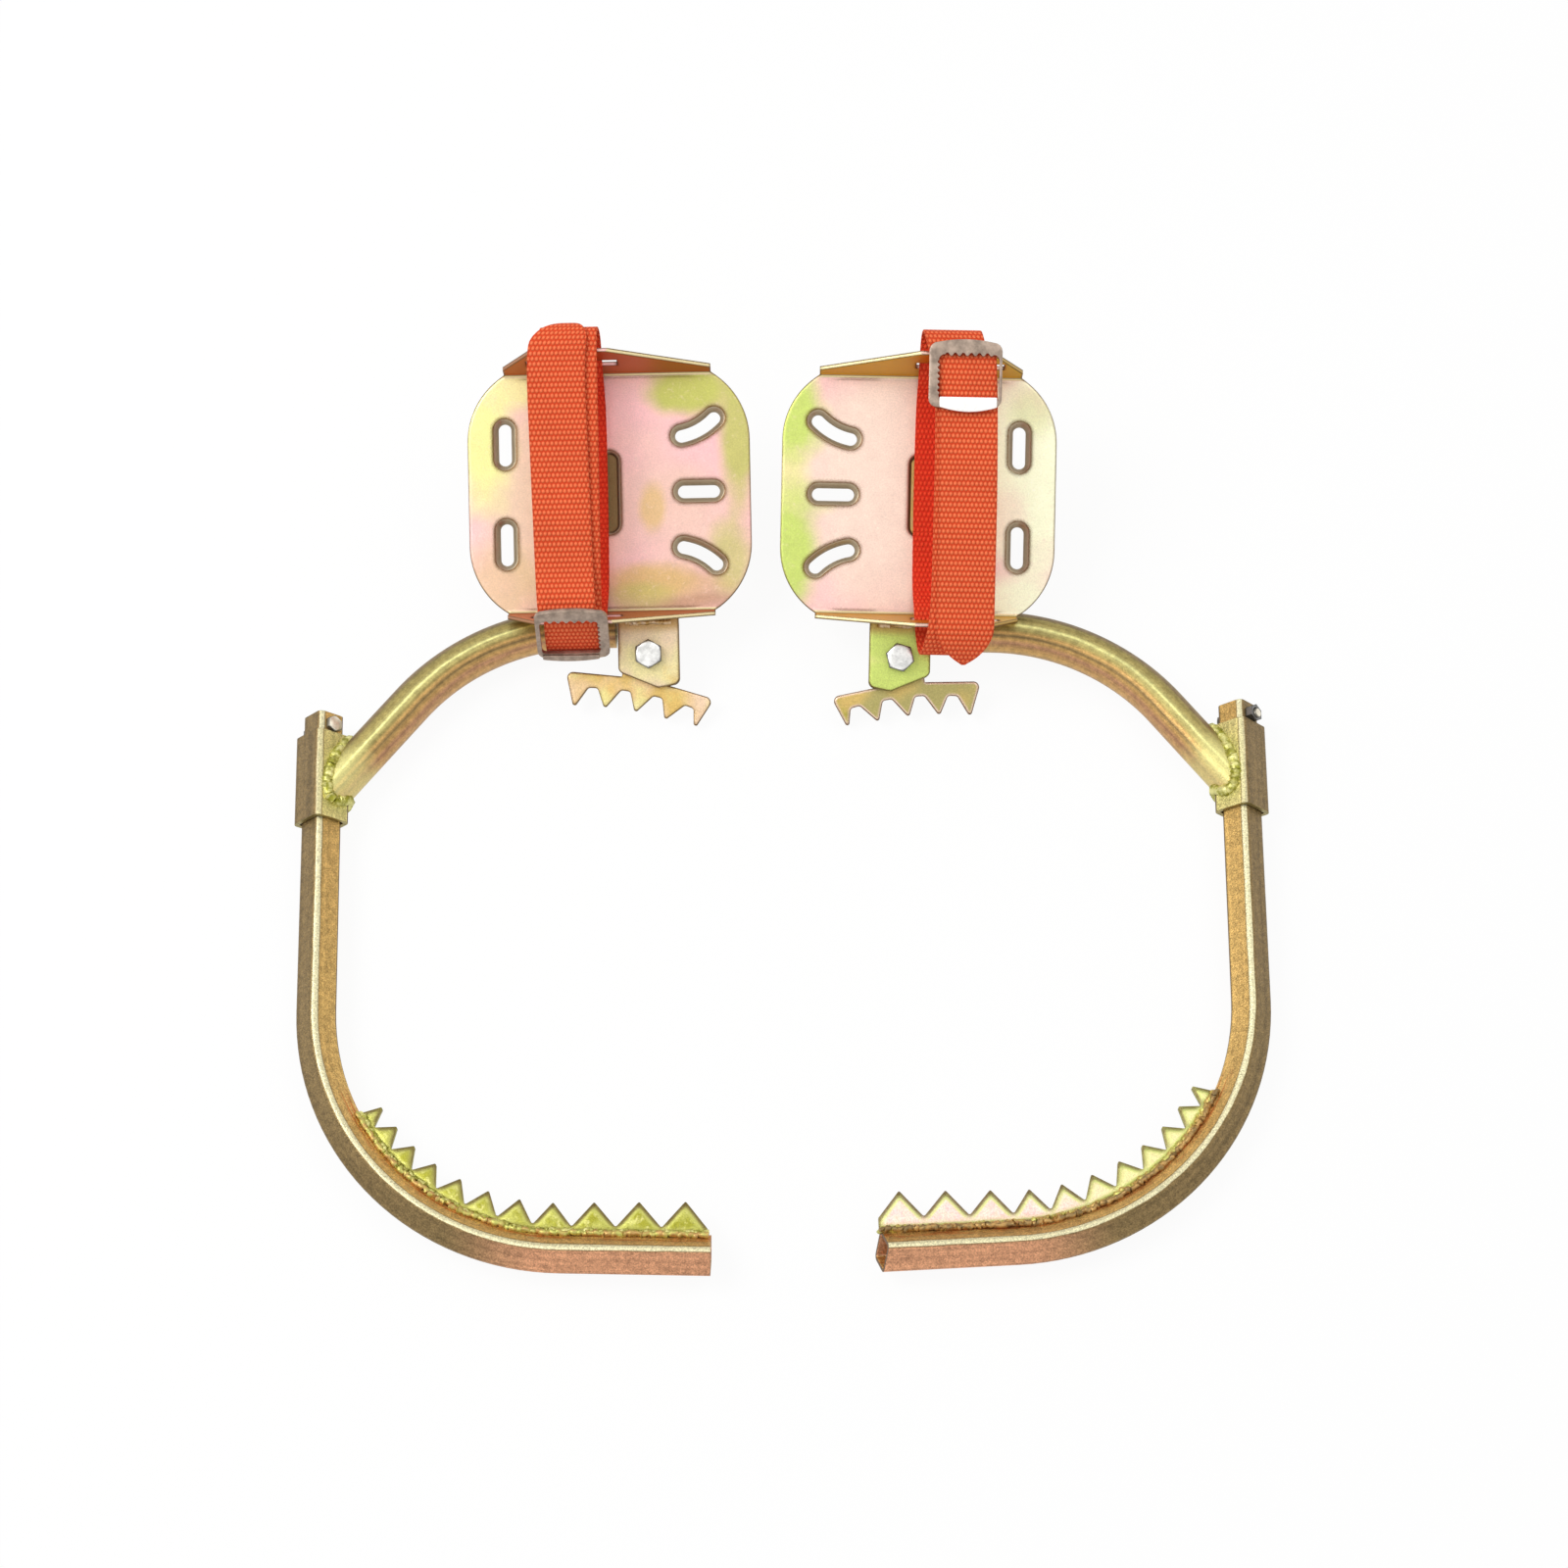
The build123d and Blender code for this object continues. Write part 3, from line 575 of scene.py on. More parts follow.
def plate_finish(side):
    """Plating of a foot plate: patches on its face, painted shade on its flanges, edges and slot rings,
    painted light on slot slopes and bends.
    """
    plate = PLATES[side]
    finish = Finish(f"plating_{side}_plate")
    along = finish.distance(plate.middle, plate.outward) / MM
    across = finish.distance(plate.middle, plate.across) / MM
    drift = finish.noise(28, 3.0, 0.55) - 0.5
    colour = finish.mix(finish.noise(16).rise(0.35, 0.68) * 0.5, "pink", "cream")
    for tone, x, y, wide, tall, amount in PLATE_PATCHES[side]:
        from_x = (along - x) / wide
        from_y = (across - y) / tall
        reach = (from_x * from_x + from_y * from_y).root() + drift * 1.1
        colour = finish.mix((1 - reach.rise(0.45, 1.25)) * amount, colour, tone)
    scuff = finish.noise(330, 6.0, 0.75).rise(0.54, 0.7)
    colour = finish.mix(scuff * 0.3, colour, "shell")
    facing_up = finish.facing(plate.up)
    flange = FLANGE_SHADE_TONES[side]
    # Tones by how a face turns from the plate's face: brown on upright edges and the flange tone are painted
    # shade, tan on the slot slopes is painted light, yellow and cream on the bends are a painted highlight.
    light_by_facing_stops = [
        (0.0, "brown"), (0.09, "brown"), (0.14, flange), (0.5, flange),
        (0.62, "rim"), (0.76, "rim"), (0.84, "yellow"), (0.94, "cream"),
    ]
    colour = finish.mix(facing_up.rise(0.965, 0.99), finish.ramp(facing_up, light_by_facing_stops), colour)
    colour = finish.mix(facing_up.rise(-0.12, -0.04), "gold", colour)
    from_end = along * along / plate.half_length**2
    from_flange = across * across / plate.half_width**2
    inside = 1 - (from_end * from_end + from_flange * from_flange).rise(0.62, 0.72)
    # A dark ring of painted shade on the face round each slot, weaker near the right plate's middle.
    _, slot_turn = edge_turn(finish, 3.8 * MM)
    slot_shade_ring = slot_turn.rise(0.004, 0.011) * inside * facing_up.rise(0.9, 0.97)
    if side == "right":
        slot_shade_ring = slot_shade_ring * (0.3 + (along * along).root().rise(18, 24) * 0.7)
    colour = finish.mix(slot_shade_ring, colour, "shadow")
    # Painted shade in a line along the plate's outer edges.
    return plated_surface(finish, colour, 0.16, (2.4 * MM, None, "shadow", 1 - inside))


def weld_heat(finish, colour, middle, tone, where):
    """A tint round a weld's middle, fading away from it."""
    away = finish.vector("DISTANCE", finish.coordinate(), middle) + finish.stray(90, 12 * MM)
    return finish.mix((0.5 - away.rise(10 * MM, 28 * MM) * 0.5) * where, colour, tone)


def scorched(finish, colour, strip, face):
    """Scorch marks on a hook tube along its toothed strip."""
    sideways, lengthways, height = finish.split(finish.coordinate())
    (_, far), (_, top) = spans(strip, Y, Z)
    above = height - top + finish.stray(150, 3 * MM)
    beside = (1 - above.rise(3 * MM, 5 * MM)) * (1 - face.rise(-0.5, -0.2))
    beside = beside * (1 - lengthways.rise(far, far + 12 * MM))
    scorch = finish.streaks(3.0, face, height / MM * 1.3, sideways * 45).rise(0.42, 0.6)
    colour = finish.mix(beside * scorch * 0.75, colour, "rust_and_shade")
    return finish.mix(beside * (1 - scorch) * 0.35, colour, "honey")


def ridge_highlight_and_shade(finish, colour, node, face, amount):
    """A painted highlight along a tube's top ridge, a painted shade line beside it, and painted shade on its
    cut ends.
    """
    _, _, height = finish.split(finish.coordinate())
    _, top = spans(node, Z)[0]
    below = top - height + finish.stray(60, 0.5 * MM) + face * 0.8 * MM
    wide = 0.22 * MM
    ridge = 1 - below.rise(wide, wide + 0.25 * MM)
    ridge_shade_line = below.rise(wide - 0.05 * MM, wide + 0.15 * MM)
    ridge_shade_line = ridge_shade_line * (1 - below.rise(wide + 0.3 * MM, wide + 0.5 * MM))
    colour = finish.mix(ridge * amount, colour, "ridge")
    colour = finish.mix(ridge_shade_line * 0.75, colour, "brown")
    ends = finish.facing(X)
    return finish.mix((ends * ends).rise(0.75, 0.9), colour, "shadow")


def tube_finish(node, centre, stops, hook_side=0, foot_stops=None, speckle=0.7, tint=None):
    """Tube plating whose tone goes from its inner side, over its top ridge, to its outer side, partly as
    painted light and shade.
    """
    finish = Finish(f"plating_{node}")
    face = outward_face(finish, centre, hook_side)
    # Tone by which way the surface faces: partly plating tone, partly painted light and shade.
    place = face * 0.5 + 0.5 + finish.stray(30, 0.07)
    colour = finish.ramp(place, stops)
    sideways, _, height = finish.split(finish.coordinate())
    if foot_stops:
        foot = 1 - (sideways * sideways).root().rise(110 * MM, 160 * MM)
        colour = finish.mix(foot, colour, finish.ramp(place, foot_stops))
    streak = finish.streaks(2.0, face * 7, height / MM * 0.5, sideways * 12).rise(0.3, 0.7)
    mottle = finish.noise(330, 3.0, 0.65).rise(0.34, 0.66)
    colour = finish.shade(colour, 0.7 + streak * 0.3 + mottle * 0.3)
    if tint:
        where = 1 - face.rise(-0.3, 0.1) if hook_side else 1.0
        colour = weld_heat(finish, colour, *tint, where)
    if foot_stops:
        colour = scorched(finish, colour, node.replace("tube", "teeth"), face)
    # Painted highlight and shade along the top ridge, and painted shade on the cut ends.
    if hook_side:
        colour = ridge_highlight_and_shade(finish, colour, node, face, 1.0 if foot_stops else 0.6)
    return plated_surface(finish, colour, speckle)


def mixed_finish(name, tones, amount, scale=26, speckle=0.22, edges=PLAIN_EDGES, up=Z, side_shade=None, fade=None):
    """Plating that clouds from one tone into two others, with painted shade on upright sides and a tone
    towards one end.
    """
    finish = Finish(f"plating_{name}")
    first, second, third = tones
    colour = finish.mix(finish.noise(scale).rise(0.4, 0.62) * amount, first, second)
    colour = finish.mix(finish.noise(scale * 1.7, 3.0).rise(0.52, 0.7) * amount, colour, third)
    if fade:
        origin, direction, reach, tone = fade
        colour = finish.mix(finish.distance(origin, direction).rise(0, reach) * 0.8, colour, tone)
    # Painted shade on the upright sides.
    if side_shade:
        level = finish.facing(up)
        colour = finish.mix((level * level).rise(0.25, 0.6), side_shade, colour)
    return plated_surface(finish, colour, speckle, edges)


def buckle_finish(name, colour, shine, worn=0.0):
    finish = Finish(name)
    mottle = finish.noise(210, 3.0, 0.6)
    pits = finish.noise(760, 2.0, 0.6)
    light = 0.5 + worn * 0.4 + mottle.rise(0.3, 0.7) * (0.5 - worn * 0.4) + pits * 0.36
    normal = finish.bump(mottle + pits * 0.5, 0.1 * MM, 0.7)
    return finish.surface(finish.shade(colour, light), 0.85 - worn * 0.6, shine + mottle * 0.2, normal)


def fastener_finish(name, colour, reach, axis):
    """Zinc on a fastener, with painted shade on the sides and slopes round its axis and along its edges."""
    # A near-black tone for the painted shade.
    dark = (0.06, 0.055, 0.05)
    finish = Finish(name)
    mottle = finish.noise(260, 3.0, 0.6)
    scuff = finish.noise(900, 2.0, 0.6, finish.vector("MULTIPLY", finish.coordinate(), (1, 3, 1)))
    rounded, turn = edge_turn(finish, reach)
    tone = finish.shade(colour, 0.6 + mottle.rise(0.3, 0.7) * 0.4 + scuff * 0.3)
    level = finish.facing(axis)
    # Painted shade on the sides and slopes round the axis, then in a line along the edges.
    tone = finish.mix((level * level).rise(0.68, 0.95) * 0.8 + 0.2, dark, tone)
    tone = finish.mix(turn.rise(0.006, 0.03) * 0.75, tone, dark)
    normal = finish.bump(mottle * 0.6 + scuff, 0.06 * MM, 0.7, rounded)
    return finish.surface(tone, 0.9, 0.2 + mottle * 0.2 + scuff * 0.08, normal)


def weld_finish(name, first, second):
    finish = Finish(name)
    cloud = finish.noise(260, 3.0, 0.6).rise(0.36, 0.64)
    scale = finish.noise(800, 2.0, 0.6)
    colour = finish.shade(finish.mix(cloud, first, second), 0.72 + scale * 0.5)
    return finish.surface(colour, 0.7, 0.34 + scale * 0.2, finish.bump(scale, 0.2 * MM, 0.8))


# Webbing
# Places along each strap's middle line, in millimetres outward, across and up from its plate
LOOP_ROUTES = {
    "left": [
        (15.5, -38, 1.0), (15.2, 0, 1.0), (15.4, 38, 1.0), (15.8, 50, 2.6), (16.0, 58, 11.4),
        (16.2, 64, 13.2), (16.5, 71, 13.6), (16.8, 77.5, 15.8), (17.2, 80.2, 21.0), (17.4, 80.0, 27.4),
        (17.6, 76.5, 32.2), (17.8, 69, 33.3), (17.8, 55, 32.9), (17.8, 30, 33.3), (17.9, 0, 33.6),
        (18.0, -35, 33.2), (18.0, -60, 32.9), (18.0, -68.5, 32.8), (18.1, -74.5, 26.5), (18.1, -80.5, 18.9),
        (18.0, -80.8, 15.4), (17.5, -77, 13.9), (16.9, -70.5, 13.5), (16.4, -64, 13.2), (16.0, -58, 11.4),
        (15.7, -50, 2.6),
    ],
    "right": [
        (12.2, -38, 1.0), (12.0, 0, 1.0), (12.3, 38, 1.0), (12.6, 50, 2.6), (12.9, 58, 11.4),
        (13.1, 64, 13.2), (13.3, 71, 13.6), (13.6, 77.5, 15.8), (13.9, 80.2, 21.0), (14.4, 80.0, 27.4),
        (15.2, 76.5, 32.2), (17.0, 69, 33.3), (19.4, 58, 32.9), (20.8, 42, 32.9), (21.1, 20, 33.3),
        (21.0, -15, 33.6), (20.8, -45, 33.1), (20.3, -62, 32.9), (19.4, -70, 32.7), (18.0, -76.5, 28.4),
        (16.6, -81.6, 23.0), (15.6, -81.6, 18.0), (14.6, -77, 14.4), (13.8, -70.5, 13.5), (13.3, -64, 13.2),
        (12.9, -58, 11.4), (12.5, -50, 2.6),
    ],
}
TAIL_ROUTES = {
    "left": [
        (20.6, -64.5, 36.0), (20.8, -58, 38.6), (21.2, -50, 37.2), (21.6, -41, 35.2), (22.0, -25, 35.3),
        (22.8, 10, 35.6), (23.6, 40, 35.2), (23.8, 60, 34.9), (22.8, 72, 35.2), (20.0, 79.0, 32.8),
        (18.0, 82.0, 27.5), (17.5, 82.2, 24.5),
    ],
    "right": [
        (21.5, 70, 34.8), (22.0, 62, 34.8), (22.6, 48, 34.8), (23.0, 30, 35.1), (23.4, 0, 35.5),
        (23.4, -30, 35.2), (23.3, -58, 34.9), (23.3, -70, 34.8), (23.3, -79, 31.0), (23.3, -84.5, 26.5),
        (23.3, -86.8, 23.5),
    ],
}
TIP_LENGTH = {"left": 19 * MM, "right": 22 * MM}
TIP_END = 0.07
TIP_ROUNDNESS = 0.8
ROUTE_STEPS = 5
COLUMNS = 8


def tip_share(distance, length):
    """Share of the full width at a distance from a strap's rounded point."""
    if distance >= length:
        return 1.0
    return max(TIP_END, math.sin(math.pi / 2 * distance / length) ** TIP_ROUNDNESS)


def run_lengths(points):
    """Distance along a line to each of its points."""
    runs = [0.0]
    for here, there in zip(points, points[1:]):
        runs.append(runs[-1] + (there - here).length)
    return runs


def weave_band(name, side, route, closed, tip=0.0):
    """A strip of webbing drawn along a route, with its weave laid out along it, and its length."""
    settings = bpy.context.scene.spikes_webbing
    plate = PLATES[side]
    line = route_line([plate.at(*place) for place in route], closed, ROUTE_STEPS)
    if closed:
        line.append(line[0])
    runs = run_lengths(line)
    start = line[0]
    place = seat(start, plate.outward, plate.up)
    sideways = place.col[1].xyz
    piece = flat_blank(name, settings.width, settings.width)
    settle(piece, place)
    edit()
    pick(piece, lambda corner: (corner - start).dot(sideways) > 0)
    bpy.ops.mesh.delete(type="VERT")
    bpy.ops.mesh.select_all(action="SELECT")
    bpy.ops.transform.translate(value=sideways * settings.width / 2)
    bpy.ops.mesh.subdivide(number_cuts=COLUMNS - 1)
    share = 1.0
    for here, there, run in zip(line, line[1:], runs[1:]):
        bpy.ops.mesh.extrude_region_move(TRANSFORM_OT_translate={"value": there - here})
        wanted = tip_share(runs[-1] - run, tip)
        if wanted != share:
            bpy.ops.transform.resize(value=[wanted / share] * 3, center_override=there)
            share = wanted
    edit(False)
    lay_out_weave(piece, plate, line, runs)
    edit_all()
    bpy.ops.mesh.remove_doubles(threshold=0.02 * MM)
    bpy.ops.mesh.normals_make_consistent(inside=False)
    finish_modifier(piece, "SOLIDIFY", thickness=settings.thickness, offset=0.0, use_even_offset=True)
    soften(piece, width=0.45 * MM, segments=2, edge_angle=60, shade_angle=60)
    return piece, runs[-1]


def lay_out_weave(piece, plate, line, runs):
    """Unwraps a strip: the first coordinate runs along it and the second across it, in metres."""
    sections = np.array([[p.dot(plate.across), p.dot(plate.up)] for p in line])
    total = runs[-1]
    mesh = piece.data
    along, across = [], []
    for corner in mesh.vertices:
        here = np.array([corner.co.dot(plate.across), corner.co.dot(plate.up)])
        nearest = int(np.argmin(((sections - here) ** 2).sum(1)))
        along.append(runs[nearest])
        across.append((corner.co - line[nearest]).dot(plate.outward))
    layer = mesh.uv_layers.new(name="weave")
    for face in mesh.polygons:
        lengths = [along[i] for i in face.vertices]
        if max(lengths) - min(lengths) > total / 2:
            lengths = [length + total if length < total / 2 else length for length in lengths]
        for loop, length, corner in zip(face.loop_indices, lengths, face.vertices):
            layer.data[loop].uv = (length, across[corner])


class SPIKES_OT_webbing(bpy.types.Operator):
    """Adds each unit's strap: a loop through the plate's flanges and its loose tail"""

    bl_idname = "spikes.webbing"
    bl_label = "Add webbing"

    def execute(self, context):
        for side in SIDES:
            body = f"{side}_frame"
            tip = TIP_LENGTH[side]
            finish = webbing_finish(side)
            loop, length = weave_band(f"{side}_strap_loop", side, LOOP_ROUTES[side], True)
            dress(loop, body, finish, [f"{side}_strap_lower_run", f"{side}_strap_upper_run"])
            tail, length = weave_band(f"{side}_strap_end", side, TAIL_ROUTES[side], False, tip)
            dress(tail, body, finish, [f"{side}_strap_tail"])
        return {"FINISHED"}


# Buckles
INNER_RAIL = 4.8 * MM
FAR_BAR = 6.2 * MM
NEAR_BAR = 3.0 * MM
BUCKLE_CORNER = 4.4 * MM
BAR_WIDTH = 28.6 * MM
BAR_SHEET = 1.3 * MM
BAR_SHIFT = 1.5 * MM
WAVE_STEPS = 8


def bow_edge(piece, level, reach, rise, cuts):
    """Divides a straight edge at one level and bows it outward."""
    pick(piece, lambda corner: abs(corner.y - level) < NEAR, "EDGE")
    bpy.ops.mesh.subdivide(number_cuts=cuts)
    for step in range(1, cuts + 1):
        share = 2 * step / (cuts + 1) - 1
        x = reach * share
        lift = rise * (1 - share * share)
        place = Vector((x, level, 0))
        shift_picked(piece, lambda corner: (corner - place).length < NEAR, (0, lift, 0))


def wave_edge(piece, ends, height, waves):
    """Divides the straight edge between two ends into waves that swing by a height, given as a vector."""
    start, end = ends
    run = end - start
    parts = WAVE_STEPS * waves

    def on_edge(corner):
        beside = (corner - start).dot(height.normalized())
        reach = (corner - start).dot(run) / run.length
        return abs(beside) < NEAR and -NEAR < reach < run.length + NEAR

    def step_of(corner):
        return round((corner - start).dot(run) / run.dot(run) * parts) % WAVE_STEPS

    pick(piece, on_edge, "EDGE")
    bpy.ops.mesh.subdivide(number_cuts=parts - 1)
    for step in (1, 2, 3, 5, 6, 7):
        swing = height * math.sin(2 * math.pi * step / WAVE_STEPS)
        shift_picked(piece, lambda corner: on_edge(corner) and step_of(corner) == step, swing)


def edge_ends(piece, wanted, direction):
    """The two ends of a straight edge, in order along a direction."""
    edit(False)
    found = [corner.co.copy() for corner in piece.data.vertices if wanted(corner.co)]
    found.sort(key=lambda place: place.dot(direction))
    edit()
    return found[0], found[-1]


def thicken(piece, thickness, edge, segments):
    """Turns a flat outline into a sheet with rounded edges."""
    finish_modifier(piece, "SOLIDIFY", thickness=thickness, offset=1.0)
    edit_all()
    bpy.ops.mesh.normals_make_consistent(inside=False)
    soften(piece, edge, segments, edge_angle=50, shade_angle=40)


def make_buckle_frame(name, inner, rail):
    """A pressed frame about the origin, with a wavy bar at its far end and a wavy rail on its inner side."""
    settings = bpy.context.scene.spikes_buckle
    wide, long = settings.width, settings.length
    piece = flat_blank(name, wide, long)
    bpy.ops.mesh.bevel(offset=BUCKLE_CORNER, segments=4, affect="VERTICES")
    bpy.ops.mesh.select_mode(type="FACE")
    bpy.ops.mesh.select_all(action="SELECT")
    bpy.ops.mesh.inset(thickness=rail)
    bpy.ops.mesh.delete(type="FACE")

    def inside(corner):
        return abs(corner.x) < wide / 2 - rail + NEAR and abs(corner.y) < long / 2 - rail + NEAR

    for side, move in ((Y, rail - FAR_BAR), (-Y, rail - NEAR_BAR), (X * inner, rail - INNER_RAIL)):
        shift_picked(piece, lambda corner: inside(corner) and corner.dot(side) > 0, side * move)
    far_level = long / 2 - FAR_BAR
    rail_level = inner * (wide / 2 - INNER_RAIL)
    far_ends = edge_ends(piece, lambda corner: inside(corner) and abs(corner.y - far_level) < NEAR, X)
    rail_ends = edge_ends(piece, lambda corner: inside(corner) and abs(corner.x - rail_level) < NEAR, Y)
    wave_edge(piece, far_ends, Y * 0.9 * MM, settings.teeth)
    wave_edge(piece, rail_ends, X * 0.6 * MM, settings.teeth)
    bow_edge(piece, long / 2, wide / 2 - BUCKLE_CORNER, rise=1.5 * MM, cuts=7)
    bow_edge(piece, -long / 2, wide / 2 - BUCKLE_CORNER, rise=-1.8 * MM, cuts=7)
    thicken(piece, settings.sheet, edge=0.6 * MM, segments=2)
    return piece


def make_grip_bar(name, deep, bow):
    """The loose bar that pinches the webbing against the frame: a crescent about the origin."""
    piece = flat_blank(name, BAR_WIDTH, deep)
    bow_edge(piece, -deep / 2, BAR_WIDTH / 2, rise=-bow, cuts=11)
    thicken(piece, BAR_SHEET, edge=0.5 * MM, segments=3)
    return piece


class SPIKES_OT_buckles(bpy.types.Operator):
    """Adds the pressed buckle and the loose grip bar of each strap"""

    bl_idname = "spikes.buckles"
    bl_label = "Add buckles"

    def execute(self, context):
        settings = context.scene.spikes_buckle
        dull = buckle_finish("dull_nickel", settings.colour, shine=0.3)
        polished = buckle_finish("worn_nickel", settings.bar_colour, shine=0.14, worn=1.0)
        for side, inward, rail, deep, bow, bar_finish in (
            ("left", 1, 2.2 * MM, 2.6 * MM, 1.4 * MM, dull),
            ("right", -1, 1.4 * MM, 5.0 * MM, 2.4 * MM, polished),
        ):
            level = PLATES[side].outward * -inward
            slide = Vector(JOINTS[f"{side}_buckle_bar_slide"]["axis"]).normalized()
            facing = level.cross(slide).normalized()
            body = make_buckle_frame(f"{side}_buckle", inward, rail)
            origin = node_middle(f"{side}_buckle_frame", (level, slide, facing), lows=(2,))
            settle(body, seat(origin, level, facing))
            dress(body, f"{side}_frame", dull, [f"{side}_buckle_frame"])
            bar = make_grip_bar(f"{side}_grip_bar", deep, bow)
            origin -= slide * (settings.length / 2 - deep / 2)
            origin += facing * settings.sheet - level * inward * BAR_SHIFT
            settle(bar, seat(origin, level, facing))
            dress(bar, f"{side}_buckle_bar", bar_finish, [f"{side}_buckle_bar"])
        return {"FINISHED"}


# Welds
ARM_RADIUS = 10.65 * MM
ARM_HEADING = {"left": Vector((0.6115, 0.7912, 0)), "right": Vector((-0.6115, 0.7912, 0))}
ARM_START = 36 * MM
ARM_BELOW = 11.5 * MM
RIM_STEPS = 60
RIM_LIFT = 0.4 * MM
FLOOR_ROOM = 1.2
BEND_RADIUS = 124 * MM
HALF_TUBE = 9.6 * MM
HOOK_CENTRES = {"left": Vector((-0.105, -0.085, 0)), "right": Vector((0.105, -0.085, 0))}
BRACKET_BEAD = 1.6 * MM
BRACKET_INSET = 4.0
BRACKET_LIFT = 0.2
CAP_CLIMB = 2.0 * MM
STRIP_ROUGHNESS = 1.8


def bend_centre(side):
    """Middle of the hook's bend: in from its leg and up from its foot by the bend's radius."""
    (left, right), (low, _) = spans(f"{side}_hook_tube", X, Y)
    inset = HALF_TUBE + BEND_RADIUS
    return Vector((left + inset if side == "left" else right - inset, low + inset, 0))


def spaced(points, pitch, closed):
    """The same line with its points a pitch apart."""
    points = list(points) + ([points[0]] if closed else [])
    runs = run_lengths(points)
    count = max(2, round(runs[-1] / pitch))
    wanted = np.linspace(0, runs[-1], count + 1)
    columns = [np.interp(wanted, runs, [p[i] for p in points]) for i in range(3)]
    made = [Vector(p) for p in zip(*columns)]
    return made[:-1] if closed else made


def make_bead(name, points, radius, seed, rough=1.0, closed=False):
    """A rippled weld bead along a line."""
    chance = random.Random(seed)
    stray, swell = 0.22, 0.18
    places, radii = [], []
    for i, place in enumerate(spaced(points, bpy.context.scene.spikes_weld.ripple / 2, closed)):
        places.append(place + Vector([chance.uniform(-stray, stray) * rough * radius for _ in range(3)]))
        radii.append((1.0 if i % 2 else 0.86) * (0.96 + rough * chance.uniform(-swell, swell)))
    curve, holder, spline = draw_curve(name, "POLY", places, closed)
    spline.points.foreach_set("radius", radii)
    curve.bevel_depth = radius
    curve.bevel_resolution = 2
    curve.use_fill_caps = True
    make_active(holder)
    bpy.ops.object.convert(target="MESH")
    piece = new_piece(name)
    smooth(piece, angle=60)
    return piece


def strip_foot(side, upper, climb=0.0):
    """The line where a face of the toothed strip meets the hook tube, or one up the tube's face from it."""
    level_slack, tube_gap = 0.1 * MM, 1.3 * MM
    tube = NODES[f"{side}_hook_tube"].data
    tree = BVHTree.FromPolygons([v.co for v in tube.vertices], [p.vertices for p in tube.polygons])
    strip = f"{side}_hook_teeth"
    level = spans(strip, Z)[0][1 if upper else 0]
    centre = HOOK_CENTRES[side]
    found = {}
    for p in corners(strip):
        place = Vector(p)
        _, facing, _, gap = tree.find_nearest(place)
        if abs(place.z - level) < level_slack and gap < tube_gap:
            angle = math.atan2(place.y - centre.y, place.x - centre.x)
            upward = Z - facing * facing.z
            found[round(angle, 4)] = place + upward.normalized() * climb
    return [found[angle] for angle in sorted(found)]


def arm_foot(side):
    """The line where the arm's end meets the sleeve, with room for the bead above the floor."""
    lowest = bpy.context.scene.spikes_weld.bead * FLOOR_ROOM
    heading = ARM_HEADING[side]
    end = node_middle(f"{side}_sleeve") - Y * ARM_BELOW + heading * ARM_START
    sideways = heading.cross(Z)
    made = []
    for step in range(RIM_STEPS):
        turn = 2 * math.pi * step / RIM_STEPS
        rim = (sideways * math.cos(turn) + Z * math.sin(turn)) * ARM_RADIUS
        hit, place, _, _ = NODES[f"{side}_sleeve"].ray_cast(end + rim, -heading)
        if hit:
            place += heading * RIM_LIFT
            place.z = max(place.z, lowest)
            made.append(place)
    return made


def bracket_foot(side, out):
    """A line on the jaw bracket's upper ear, so far out from where it meets the plate's near flange."""
    plate = PLATES[side]
    cloud = corners(f"{side}_jaw_bracket") - np.array(plate.middle)
    along, across, up = (cloud @ np.array(d) / MM for d in (plate.outward, plate.across, plate.up))
    ends = (along.min() + BRACKET_INSET, along.max() - BRACKET_INSET)
    return [plate.at(end, across.max() - out, up.max() + BRACKET_LIFT) for end in ends]


class SPIKES_OT_welds(bpy.types.Operator):
    """Adds the weld beads on the sleeves, the jaw brackets and along the toothed strips"""

    bl_idname = "spikes.welds"
    bl_label = "Add welds"

    def execute(self, context):
        settings = context.scene.spikes_weld
        ribbon = settings.ribbon
        lime = weld_finish("weld_lime", "olive", "yellow")
        gold = weld_finish("weld_gold", "gold", "lime")
        brown = weld_finish("weld_brown", "gold", "brown")
        pale = weld_finish("weld_pale", "cream", "gold")
        for count, (side, top, cap) in enumerate((("left", lime, gold), ("right", gold, brown))):
            line = arm_foot(side)
            bead = make_bead(f"{side}_arm_weld", line, settings.bead, 11 + count, rough=0.45, closed=True)
            dress(bead, f"{side}_frame", lime)
            for row, line, radius, seed, finish in (
                ("upper", strip_foot(side, True), ribbon, 22 + 2 * count, top),
                ("lower", strip_foot(side, False), ribbon, 21 + 2 * count, brown),
                ("cap", strip_foot(side, True, CAP_CLIMB), ribbon * 0.85, 27 + count, cap),
            ):
                bead = make_bead(f"{side}_strip_weld_{row}", line, radius, seed, STRIP_ROUGHNESS)
                dress(bead, f"{side}_hook", finish)
            for row, out, seed in (("first", 0.0, 31 + 2 * count), ("second", 2.6, 34 + 2 * count)):
                bead = make_bead(f"{side}_bracket_weld_{row}", bracket_foot(side, out), BRACKET_BEAD, seed)
                dress(bead, f"{side}_frame", pale)
        return {"FINISHED"}


# Fasteners, each with its width across flats, head height and shank
JAW_BOLT = (13.0 * MM, 5.3 * MM, 8.0 * MM)
STOP_BOLT = (8.0 * MM, 3.5 * MM, 5.0 * MM)
STEM_OVERLAP = 0.1 * MM
STEM_CHAMFER = 0.12
HEX_SIDES, ROUND_SIDES, CHAMFER_SIDES = 6, 32, 48
FACE_SHARE = 0.46
CHAMFER_ANGLE = math.radians(32)


